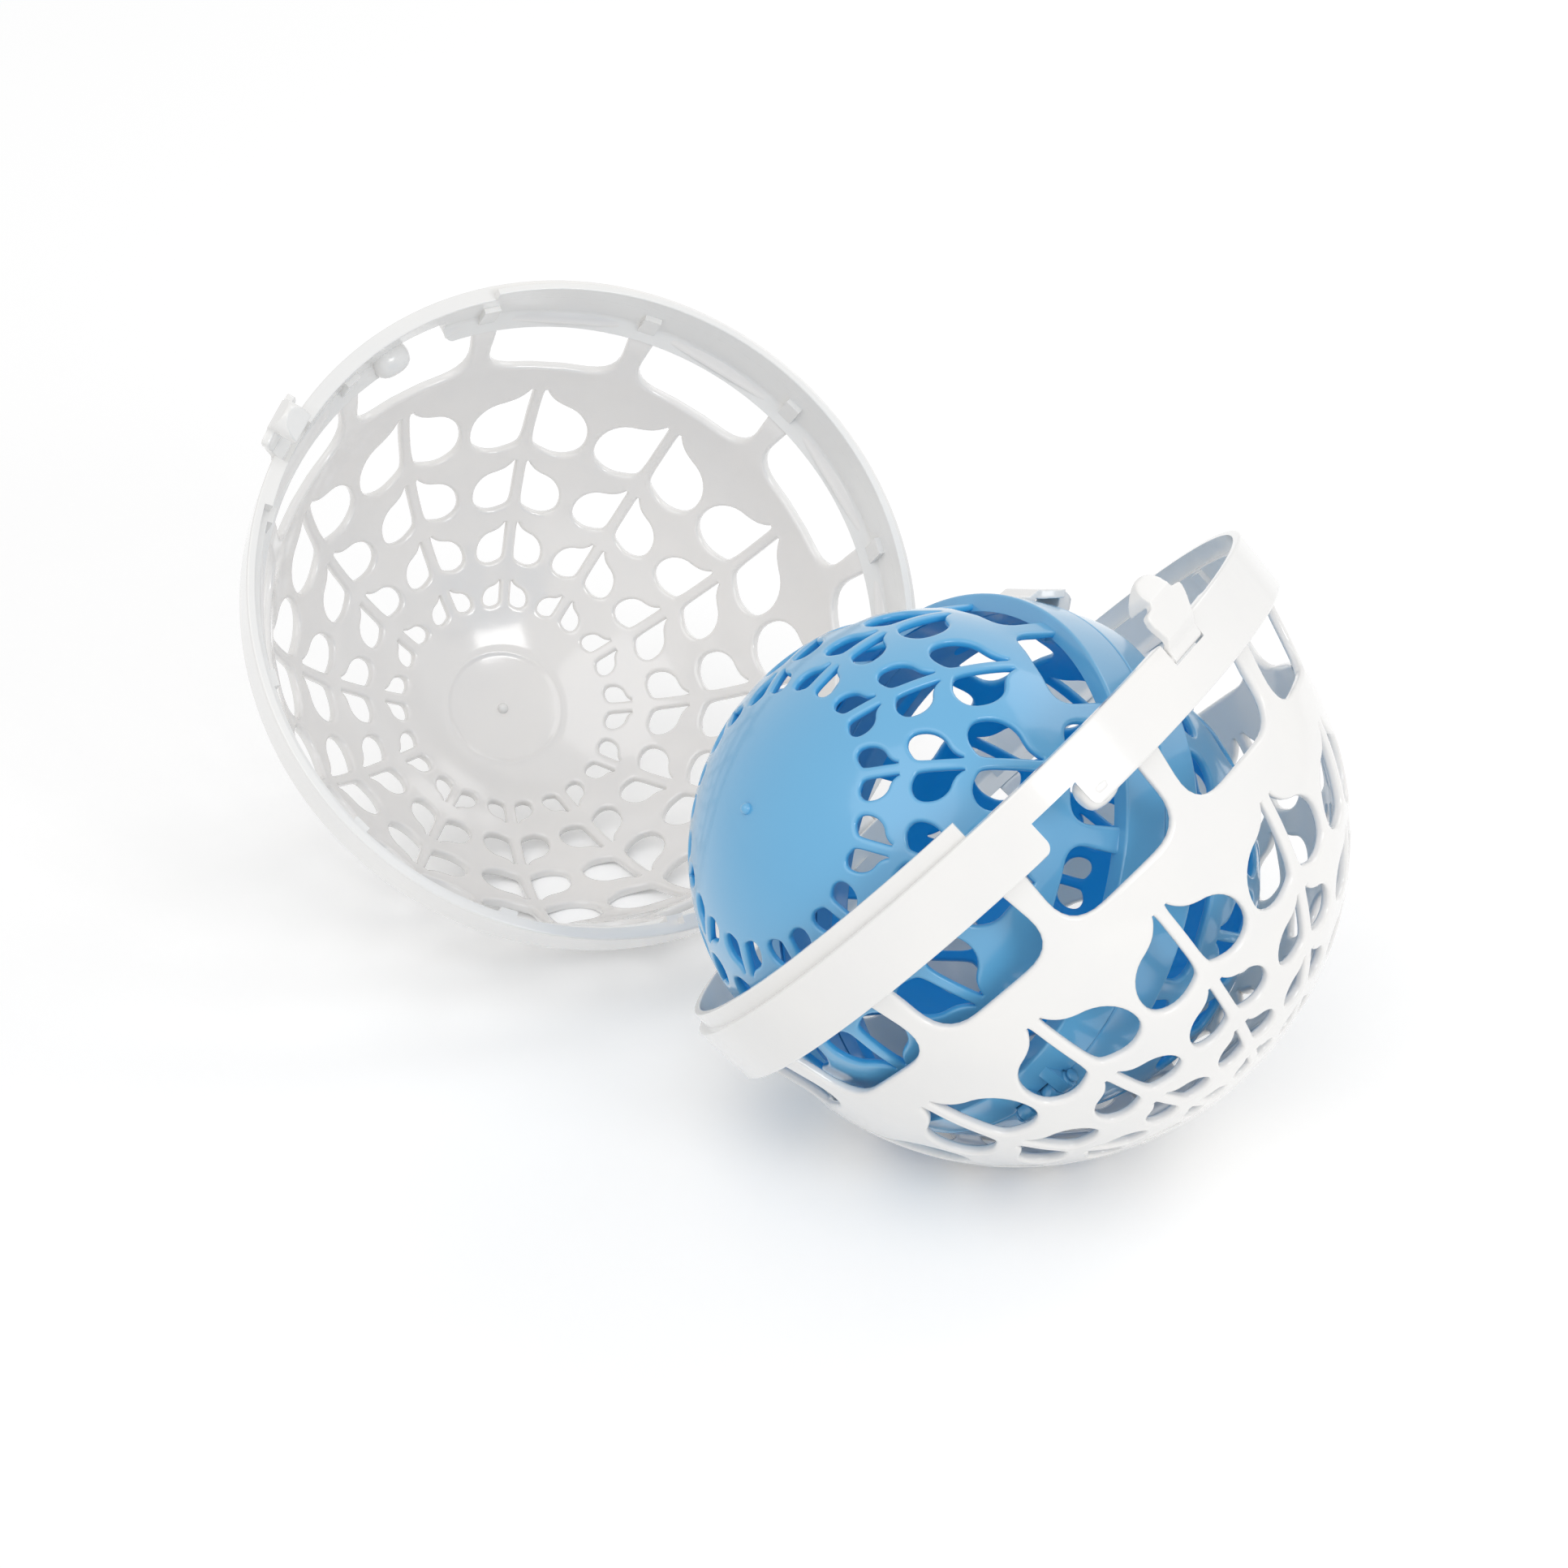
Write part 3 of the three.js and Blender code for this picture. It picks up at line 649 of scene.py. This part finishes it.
def plain_band(half):
    """Band all round the half, before anything is cut from it."""
    radius = half["band_radius"]
    rim_inner = radius - half["rim_wall"]
    foot = -half["band_height"]
    corners = [Vector(spot) for spot in (
        (radius - half["band_draft"], foot), (radius, 0.0), (rim_inner, 0.0),
        (rim_inner, foot + half["rim_wall"]), (half["strut_top"] - half["wall"], foot),
    )]
    rounds = [BAND_ROUNDING, BAND_ROUNDING, RIM_ROUNDING, BAND_ROUNDING, HEEL_ROUNDING]
    return ring_part(softened(corners, rounds), 0.0, FULL_TURN, BAND_STEPS)


def tongue_recess(half):
    """Cutter for the recess that takes the other half's tongue."""
    rim_inner = half["band_radius"] - half["rim_wall"]
    inner_side = rim_inner - CUT
    outer_side = rim_inner + half["tongue_wall"] + CLEARANCE
    floor_height = -half["tongue_height"] - CLEARANCE
    corners = [Vector(spot) for spot in (
        (inner_side, floor_height), (outer_side, floor_height), (outer_side, CUT), (inner_side, CUT),
    )]
    side = math.degrees(CLEARANCE / rim_inner)
    start = half["hinge_angle"] - half["tongue_start"] - half["tongue_sweep"] - side
    return ring_part(corners, start, half["tongue_sweep"] + 2 * side, TONGUE_STEPS)


def tongue_mesh(half):
    """Tongue that stands up from the rim and centres the other half."""
    rim_inner = half["band_radius"] - half["rim_wall"]
    tongue_outer = rim_inner + half["tongue_wall"]
    foot = -half["rim_wall"] / 2
    top = half["tongue_height"]
    corners = [Vector(spot) for spot in (
        (rim_inner, foot), (tongue_outer, foot), (tongue_outer, top), (rim_inner, top),
    )]
    rounds = [TONGUE_FOOT_ROUNDING] * 2 + [TONGUE_TOP_ROUNDING] * 2
    start = half["hinge_angle"] + half["tongue_start"]
    return ring_part(softened(corners, rounds), start, half["tongue_sweep"], TONGUE_STEPS)


def band_meshes(half):
    """Band with its lever notch, its catch and the recess for a tongue, and its own tongue."""
    inside = half["band_radius"] - half["rim_wall"] - CUT
    outside = half["band_radius"] + CUT
    notch = block_mesh(lever_angle(half), NOTCH_WIDTH, NOTCH_FLOOR, CUT, inside, outside)
    catch = catch_cutter(half, half["catch_ease"])
    reach = 2 * (half["knuckle_length"] + CLEARANCE)
    size = half["knuckle_radius"] + CLEARANCE
    stations = ((-reach, size), (reach, size))
    relief = rod_mesh(half["hinge_angle"], half["hinge_radius"], 0.0, stations, ROD_STEPS)
    band = cut_away(plain_band(half), [tongue_recess(half), notch, catch, relief])
    return [band, tongue_mesh(half)]


def strut_bars(half):
    """Bars that carry the struts up the inside of the band, nearly to the rim."""
    rim_inner = half["band_radius"] - half["rim_wall"]
    width = wall_spot(half, last_arc(half), 0.0).x * COLUMN_TURN - half["window_width"]
    low = BAR_END - half["band_height"]
    high = -BAR_END - half["tongue_height"]
    meshes = []
    for k in range(COLUMNS):
        angle = half["first_column"] + math.degrees(COLUMN_TURN) * (k + 0.5)
        inside = rim_inner - BAR_RELIEF
        meshes.append(block_mesh(angle, width, low, high, inside, rim_inner + BAR_RELIEF))
    return meshes


def catch_boss(half):
    """Rounded end of the band's full width, at the end of the catch nearest the lever."""
    turn = math.degrees(((CATCH_WIDTH + BOSS_LENGTH) / 2 - BOSS_REACH) / half["band_radius"])
    stations = []
    for k in range(ROUND_STEPS + 1):
        swing = math.pi * k / ROUND_STEPS
        bulge = math.sqrt(max(math.sin(swing), BOSS_BLUNT))
        stations.append((-BOSS_LENGTH / 2 * math.cos(swing), BOSS_RADIUS * bulge))
    height = BOSS_RADIUS - BOSS_DROP - half["band_height"]
    radius = half["band_radius"] - half["band_draft"] + CLEARANCE - BOSS_RADIUS
    return rod_mesh(catch_angle(half) + turn, radius, height, stations, ROUND_STEPS * 2)


def gate_mark(half):
    """Low rough point left at the pole where the plastic came in."""
    bm = bmesh.new()
    height = half["gate_inset"] - half["dome_drop"] - half["dome_radius"]
    place = Matrix.Translation((0.0, 0.0, height)) @ Matrix.Diagonal(GATE_SIZE).to_4x4()
    bmesh.ops.create_uvsphere(
        bm, u_segments=ROUND_STEPS, v_segments=ROUND_STEPS, radius=1.0, matrix=place,
    )
    for face in bm.faces:
        face.smooth = True
    return finished_mesh(bm, "gate")


def standing_flat(place):
    """Floor as a plane in the frame of a half: its direction and its distance in millimetres."""
    return place.to_3x3().transposed() @ Vector((0.0, 0.0, -1.0)), place.translation.z / MM


def eased(mesh, flats):
    """Wall worked flat where either half of the open ball stands on the floor."""
    for vertex in mesh.vertices:
        for direction, distance in flats:
            beyond = vertex.co.dot(direction) - distance
            if beyond > 0:
                vertex.co -= direction * beyond
    return mesh


def joined_mesh(name, meshes, place):
    """All the meshes of one moulding as one mesh, set in its place in metres."""
    bm = bmesh.new()
    bm.verts.layers.float.new("depth")
    for mesh in meshes:
        bm.from_mesh(mesh)
    open_edges = [edge for edge in bm.edges if edge.is_boundary]
    bmesh.ops.holes_fill(bm, edges=open_edges, sides=HOLE_SIDES)
    bm.transform(place @ Matrix.Scale(MM, 4))
    for face in bm.faces:
        face.material_index = 0
    result = finished_mesh(bm, name)
    result.set_sharp_from_angle(angle=SHARP_ANGLE)
    return result


def moulding(name, meshes, place, plastic, body, node):
    """Finished moulding that stands for its node and moves with its body."""
    piece = loose_object(name, joined_mesh(name, meshes, place))
    piece.data.materials.clear()
    piece.data.materials.append(plastic)
    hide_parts(node)
    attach(piece, body)


def mix_node(tree, kind, blend):
    """Mix of two values or colours; gives its factor, both inputs and its result."""
    mix = tree.nodes.new("ShaderNodeMix")
    mix.data_type = "RGBA" if kind == "Color" else "FLOAT"
    mix.blend_type = blend
    sockets = {socket.identifier: socket for socket in (*mix.inputs, *mix.outputs)}
    names = ("Factor_Float", "A_" + kind, "B_" + kind, "Result_" + kind)
    return [sockets[name] for name in names]


def grain_and_painted_shade():
    """Shader group for moulded plastic: faint flow marks in the colour, fine unevenness of the skin, and
    painted shade, a second colour on the wall's inner face.
    """
    tree = bpy.data.node_groups.new("grain_and_painted_shade", "ShaderNodeTree")
    add_sockets(tree, "INPUT", (
        ("Colour", "Color"), ("Painted shade colour", "Color"), ("Flow", "Float"), ("Roughness", "Float"),
        ("Flow scale", "Float"), ("Skin scale", "Float"), ("Polish", "Float"), ("Deep polish", "Float"),
    ))
    add_sockets(tree, "OUTPUT", (
        ("Colour", "Color"), ("Roughness", "Float"), ("Polish", "Float"), ("Height", "Float"),
    ))
    given = tree.nodes.new("NodeGroupInput")
    done = tree.nodes.new("NodeGroupOutput")
    spot = tree.nodes.new("ShaderNodeTexCoord")
    depth = tree.nodes.new("ShaderNodeAttribute")
    depth.attribute_name = "depth"
    flow = tree.nodes.new("ShaderNodeTexNoise")
    flow.inputs["Detail"].default_value = FLOW_DETAIL
    skin = tree.nodes.new("ShaderNodeTexNoise")
    skin.inputs["Detail"].default_value = SKIN_DETAIL
    swing = tree.nodes.new("ShaderNodeMapRange")
    swing.inputs["From Min"].default_value = FLOW_RANGE[0]
    swing.inputs["From Max"].default_value = FLOW_RANGE[1]
    swing.inputs["To Min"].default_value = 0.0
    rough = tree.nodes.new("ShaderNodeMath")
    rough.operation = "MULTIPLY_ADD"
    rough.inputs[1].default_value = FLOW_ROUGHNESS
    # Painted shade: the wall's inner face and the edges of its openings take the second colour, by how
    # deep in the wall a point lies.
    painted_shade_share, plain_colour, painted_shade_colour, shaded_wall_colour = mix_node(tree, "Color", "MIX")
    flow_share, clear_colour, flow_colour, marked_colour = mix_node(tree, "Color", "MULTIPLY")
    flow_colour.default_value = FLOW_SHADE
    polish_share, plain_polish, deep_polish, polish = mix_node(tree, "Float", "MIX")
    link = tree.links.new
    link(spot.outputs["Object"], flow.inputs["Vector"])
    link(spot.outputs["Object"], skin.inputs["Vector"])
    link(given.outputs["Flow scale"], flow.inputs["Scale"])
    link(given.outputs["Skin scale"], skin.inputs["Scale"])
    link(depth.outputs["Fac"], painted_shade_share)
    link(given.outputs["Colour"], plain_colour)
    link(given.outputs["Painted shade colour"], painted_shade_colour)
    link(flow.outputs[0], swing.inputs["Value"])
    link(given.outputs["Flow"], swing.inputs["To Max"])
    link(swing.outputs[0], flow_share)
    link(shaded_wall_colour, clear_colour)
    link(marked_colour, done.inputs["Colour"])
    link(flow.outputs[0], rough.inputs[0])
    link(given.outputs["Roughness"], rough.inputs[2])
    link(rough.outputs[0], done.inputs["Roughness"])
    link(depth.outputs["Fac"], polish_share)
    link(given.outputs["Polish"], plain_polish)
    link(given.outputs["Deep polish"], deep_polish)
    link(polish, done.inputs["Polish"])
    link(skin.outputs[0], done.inputs["Height"])
    return tree


GRAIN_AND_PAINTED_SHADE = grain_and_painted_shade()


def plastic_material(name, look):
    """Moulded plastic of one colour, with painted shade in a second colour on its inner face, fed by the
    grain and shade group.
    """
    material = bpy.data.materials.new(name)
    material.use_nodes = True
    nodes = material.node_tree.nodes
    shader = nodes["Principled BSDF"]
    shader.inputs["IOR"].default_value = PLASTIC_IOR
    shader.inputs["Coat Roughness"].default_value = COAT_ROUGHNESS
    grain_and_shade = nodes.new("ShaderNodeGroup")
    grain_and_shade.node_tree = GRAIN_AND_PAINTED_SHADE
    for socket, value in look.items():
        grain_and_shade.inputs[socket].default_value = value
    grain_and_shade.inputs["Flow scale"].default_value = FLOW_SCALE
    grain_and_shade.inputs["Skin scale"].default_value = SKIN_SCALE
    bump = nodes.new("ShaderNodeBump")
    bump.inputs["Strength"].default_value = SKIN_STRENGTH
    bump.inputs["Distance"].default_value = SKIN_DEPTH
    link = material.node_tree.links.new
    link(grain_and_shade.outputs["Colour"], shader.inputs["Base Color"])
    link(grain_and_shade.outputs["Roughness"], shader.inputs["Roughness"])
    link(grain_and_shade.outputs["Polish"], shader.inputs["Coat Weight"])
    link(grain_and_shade.outputs["Height"], bump.inputs["Height"])
    link(bump.outputs["Normal"], shader.inputs["Normal"])
    return material


white_plastic = plastic_material("white_plastic", white_look)
outer_hinge = joint("outer_hinge")
outer_along = Vector(outer_hinge["axis"])
outer_axis = Vector(joint("inner_lift")["axis"])
lower_place = half_place(outer_along, outer_axis, Vector(outer_hinge["pos_m"]), outer)
upper_place = turned_half(lower_place, outer, OPEN_ANGLE)
outer_flats = [standing_flat(lower_place), standing_flat(upper_place)]
outer_meshes = [eased(dome_mesh(outer, white_plastic), outer_flats)]
outer_meshes += [catch_boss(outer), gate_mark(outer)]
outer_meshes += band_meshes(outer) + knuckle_meshes(outer) + strut_bars(outer)
moulding("white_lower_half", outer_meshes, lower_place, white_plastic,
         "lower_shell", "lower_shell")
moulding("white_upper_half", outer_meshes, upper_place, white_plastic,
         "upper_shell", "upper_shell")

# Blue inner halves: the same kind of moulding, smaller and in light blue, also used twice.
# They have three leaf rows. Their plastic lets light through; the deeper blue on the wall's inner face
# and at the edges of its openings is painted shade and painted light through the wall.
inner = dict(
    dome_radius=55.9, dome_drop=12.7, wall=2.0, cap_arc=26.5, edge=0.75,
    band_radius=61.7, band_draft=0.7, band_height=11.0, rim_wall=2.9, strut_top=58.6,
    rib=2.6, tongue_wall=1.1, tongue_height=3.0, tongue_start=30.0, tongue_sweep=95.0,
    window_height=11.0, window_width=24.6, window_corner=5.5, first_column=0.0,
    leaf_rows=((30.3, 38.8, 12.4), (42.0, 53.2, 16.0), (55.6, 71.6, 21.2)),
    hinge_angle=75.0, hinge_radius=62.4, knuckle_radius=2.1, knuckle_length=3.8,
    lug_height=8.0, lug_root=1.8, latch_spread=36.5, catch_ease=0.8,
    ring_radius=13.0, gate_inset=0.0,
)
# The second colour goes on the wall's inner face and the edges of its openings: a deeper, more saturated
# blue that is painted shade and painted light through the wall.
blue_look = {
    "Colour": (0.125, 0.44, 0.735, 1.0), "Painted shade colour": (0.002, 0.45, 0.92, 1.0),
    "Roughness": 0.3, "Flow": 0.4, "Polish": 1.0, "Deep polish": 0.0,
}

blue_plastic = plastic_material("blue_plastic", blue_look)
inner_hinge = joint("inner_hinge")
inner_along = -Vector(inner_hinge["axis"])
inner_axis = Vector(joint("inner_front_latch")["axis"]).cross(inner_along).normalized()
front_place = half_place(inner_along, inner_axis, Vector(inner_hinge["pos_m"]), inner)
rear_place = turned_half(front_place, inner, 0.0)
inner_meshes = [dome_mesh(inner, blue_plastic), gate_mark(inner)]
inner_meshes += band_meshes(inner) + knuckle_meshes(inner)
moulding("blue_front_half", inner_meshes, front_place, blue_plastic,
         "inner_front", "inner_front_half")
moulding("blue_rear_half", inner_meshes, rear_place, blue_plastic,
         "inner_rear", "inner_rear_half")

# Hinge pins: plain plastic rods, each in the colour of its ball and through all four knuckles
# of its hinge. They are pressed in from one side and kept in place by a head at each end.
outer_pin = dict(radius=1.5, head_radius=2.4, head_length=1.2)
inner_pin = dict(radius=1.0, head_radius=1.6, head_length=0.8)
HEAD_SOFT_SHARE = 0.25


def pin_mesh(half, pin):
    """Pin along the hinge of a half, with both its heads."""
    reach = 2 * (half["knuckle_length"] + CLEARANCE) + CLEARANCE / 2
    end = reach + pin["head_length"]
    soft = HEAD_SOFT_SHARE * pin["head_length"]
    wide = pin["head_radius"]
    profile = [
        (reach, pin["radius"]), (reach, wide - soft), (reach + soft, wide),
        (end - soft, wide), (end, wide - soft),
    ]
    stations = [(-x, size) for x, size in reversed(profile)] + profile
    return rod_mesh(half["hinge_angle"], half["hinge_radius"], 0.0, stations, ROD_STEPS)


moulding("white_hinge_pin", [pin_mesh(outer, outer_pin)], lower_place, white_plastic,
         "lower_shell", "outer_hinge_pin")
moulding("blue_hinge_pin", [pin_mesh(inner, inner_pin)], rear_place, blue_plastic,
         "inner_rear", "inner_hinge_pin")

# Latch levers: one small white moulding used four times, clipped by two stub pins into a notch
# of the band. A hook on the back of its head snaps under the other half's band, and the
# round ear above the crease is pushed outward by a thumb.
lever = dict(
    foot_radius=1.4, pivot_inset=1.4, pivot_depth=4.2, trunnion_radius=0.7, trunnion_length=1.2,
    foot_width=11.4, shoulder_width=14.6, shoulder_low=4.4, shoulder_high=6.8, shoulder_soft=1.1,
    neck_height=7.3, head_width=8.2, thickness=2.1,
    bend_depth=2.6, shoulder_reach=2.5, crease_reach=4.5, crease_height=8.3,
    ear_reach=2.7, ear_height=13.6, hook_reach=3.4, hook_height=7.8, hook_tip=1.1,
)
LEVER_MOULD_REACH = 18.0
LEVER_VOXEL = 0.26
LEVER_SOFTNESS = 0.5
LEVER_SMOOTHING = 3
ARC_STEPS = 16


def lever_side(size):
    """Side view of the lever: how far out from the band's face, and how high over the rim."""
    c = CLEARANCE
    spots = [
        (0.0, -size["pivot_depth"]), (c, -size["bend_depth"]), (size["shoulder_reach"], -c),
        (size["crease_reach"], size["crease_height"]), (size["ear_reach"], size["ear_height"] - c),
        (size["ear_reach"] - size["thickness"] / 2, size["ear_height"]),
        (-size["hook_reach"], size["hook_height"] + size["hook_tip"]),
        (-size["hook_reach"], size["hook_height"]),
        (size["crease_reach"] - size["thickness"], size["hook_height"]), (c, c), (c, -c),
        (c - 2 * size["foot_radius"], c - size["bend_depth"]),
    ]
    for k in range(ARC_STEPS):
        turn = math.pi * (1 + k / ARC_STEPS)
        spots.append((-size["pivot_inset"] + size["foot_radius"] * math.cos(turn),
                      -size["pivot_depth"] + size["foot_radius"] * math.sin(turn)))
    return [Vector(spot) for spot in spots]


def lever_front(size):
    """Front view of the lever: foot, cross bar with rounded ends, neck and round ear."""
    foot = size["foot_width"] / 2
    shoulder = size["shoulder_width"] / 2
    head = size["head_width"] / 2
    below = -size["pivot_depth"] - 2 * size["foot_radius"]
    middle = size["ear_height"] - head
    path = [Vector(spot) for spot in (
        (foot, CLEARANCE), (shoulder, size["shoulder_low"]), (shoulder, size["shoulder_high"]),
        (head, size["neck_height"]), (head, middle),
    )]
    right = [Vector((foot, below)), path[0]]
    for before, corner, after in zip(path, path[1:], path[2:]):
        right.extend(rounded_corner(before, corner, after, size["shoulder_soft"]))
    for k in range(ARC_STEPS):
        turn = math.pi / 2 * k / ARC_STEPS
        right.append(Vector((head * math.cos(turn), middle + head * math.sin(turn))))
    top = Vector((0.0, size["ear_height"]))
    left = [Vector((-spot.x, spot.y)) for spot in reversed(right)]
    return right + [top] + left


def lever_mesh(half):
    """Lever in its half's frame, softened all over as a small moulding is."""
    angle = lever_angle(half)
    place = on_side(angle, half["band_radius"], 0.0)
    side = lever["shoulder_width"] / 2
    piece = loose_object("lever", prism_mesh(lever_side(lever), -side, side, place))
    facing = place @ Matrix.Rotation(math.pi / 2, 4, "Y").inverted()
    mould = prism_mesh(lever_front(lever), -LEVER_MOULD_REACH, LEVER_MOULD_REACH, facing)
    reach = lever["foot_width"] / 2 + lever["trunnion_length"]
    stations = ((-reach, lever["trunnion_radius"]), (reach, lever["trunnion_radius"]))
    pivot_radius = half["band_radius"] - lever["pivot_inset"]
    stubs = rod_mesh(angle, pivot_radius, -lever["pivot_depth"], stations, ARC_STEPS)
    tools = [cut_step(piece, "INTERSECT", mould), cut_step(piece, "UNION", stubs)]
    skin = piece.modifiers.new("skin", "REMESH")
    skin.mode = "VOXEL"
    skin.voxel_size = LEVER_VOXEL
    skin.use_smooth_shade = True
    soften = piece.modifiers.new("soften", "SMOOTH")
    soften.factor = LEVER_SOFTNESS
    soften.iterations = LEVER_SMOOTHING
    result = evaluated_mesh(piece)
    for tool in tools:
        bpy.data.objects.remove(tool)
    return result


outer_lever = lever_mesh(outer)
inner_lever = lever_mesh(inner)
for name, mesh, place in (
    ("lower_latch_lever", outer_lever, lower_place),
    ("upper_latch_lever", outer_lever, upper_place),
    ("inner_front_latch_lever", inner_lever, front_place),
    ("inner_rear_latch_lever", inner_lever, rear_place),
):
    moulding("white_" + name, [mesh], place, white_plastic, name, name)

# Studio floor: a plain matt white board that lies loose under the open ball. It is lifted to
# full white where it is seen, so that only the soft shadow under the two domes is left.
FLOOR_SIZE = 6.0
FLOOR_HEIGHT = -0.0001
FLOOR_COLOUR = (0.97, 0.97, 0.97, 1.0)
FLOOR_ROUGHNESS = 0.9
FLOOR_LIFT = (0.16, 0.16, 0.16, 1.0)


def seen_mask(tree):
    """Mask of what is seen, straight, in a mirror or through glass, and not of the light on the ball."""
    path = tree.nodes.new("ShaderNodeLightPath")
    mask = path.outputs["Is Camera Ray"]
    for ray in ("Is Glossy Ray", "Is Transmission Ray"):
        either = tree.nodes.new("ShaderNodeMath")
        either.operation = "MAXIMUM"
        tree.links.new(mask, either.inputs[0])
        tree.links.new(path.outputs[ray], either.inputs[1])
        mask = either.outputs[0]
    return mask


floor_bm = bmesh.new()
bmesh.ops.create_grid(floor_bm, x_segments=1, y_segments=1, size=FLOOR_SIZE / 2)
bmesh.ops.translate(floor_bm, verts=floor_bm.verts, vec=(0.0, 0.0, FLOOR_HEIGHT))
floor = loose_object("floor", finished_mesh(floor_bm, "floor"))
floor_material = bpy.data.materials.new("studio_floor")
floor_material.use_nodes = True
floor_tree = floor_material.node_tree
floor_shader = floor_tree.nodes["Principled BSDF"]
floor_shader.inputs["Base Color"].default_value = FLOOR_COLOUR
floor_shader.inputs["Roughness"].default_value = FLOOR_ROUGHNESS
floor_shader.inputs["Specular IOR Level"].default_value = 0.0
floor_shader.inputs["Emission Color"].default_value = FLOOR_LIFT
floor_tree.links.new(seen_mask(floor_tree), floor_shader.inputs["Emission Strength"])
floor.data.materials.append(floor_material)

# Studio light: a white surround, one broad lamp from the upper left and two softboxes on the
# right. The front one gives the blue pole disc its highlight, and the high one at the back
# brightens the upper side of the domes.
SURROUND_COLOUR = (1.0, 1.0, 1.0, 1.0)
SURROUND_STRENGTH = 0.63
BACKDROP_STRENGTH = 1.0
SUN_STRENGTH = 0.58
SUN_SOFTNESS = math.radians(50.0)
SUN_TURN = (math.radians(32.0), math.radians(-18.0), 0.0)
SOFTBOX_DISTANCE = 1.4
FRONT_POWER = 3.2
FRONT_SIZE = (0.5, 0.4)
FRONT_SIDE = (0.5, -0.7, 0.52)
BACK_POWER = 1.7
BACK_SIZE = (0.7, 0.7)
BACK_SIDE = (0.6, 0.45, 0.75)


def softbox(name, power, size, side):
    """Rectangle of soft light that faces the ball from one side."""
    lamp_data = bpy.data.lights.new(name, "AREA")
    lamp_data.energy = power
    lamp_data.shape = "RECTANGLE"
    lamp_data.size, lamp_data.size_y = size
    lamp = bpy.data.objects.new(name, lamp_data)
    lamp.location = Vector(side).normalized() * SOFTBOX_DISTANCE
    lamp.rotation_euler = Vector(side).to_track_quat("Z", "Y").to_euler()
    bpy.context.scene.collection.objects.link(lamp)


world = bpy.data.worlds.new("studio")
world.use_nodes = True
world_tree = world.node_tree
surround = world_tree.nodes["Background"]
surround.inputs["Color"].default_value = SURROUND_COLOUR
backdrop = world_tree.nodes.new("ShaderNodeMapRange")
backdrop.inputs["To Min"].default_value = SURROUND_STRENGTH
backdrop.inputs["To Max"].default_value = BACKDROP_STRENGTH
world_tree.links.new(seen_mask(world_tree), backdrop.inputs["Value"])
world_tree.links.new(backdrop.outputs["Result"], surround.inputs["Strength"])
bpy.context.scene.world = world
sun_data = bpy.data.lights.new("broad_lamp", "SUN")
sun_data.energy = SUN_STRENGTH
sun_data.angle = SUN_SOFTNESS
sun = bpy.data.objects.new("broad_lamp", sun_data)
sun.rotation_euler = SUN_TURN
bpy.context.scene.collection.objects.link(sun)
softbox("front_softbox", FRONT_POWER, FRONT_SIZE, FRONT_SIDE)
softbox("back_softbox", BACK_POWER, BACK_SIZE, BACK_SIDE)
bpy.context.scene.view_settings.view_transform = "Standard"
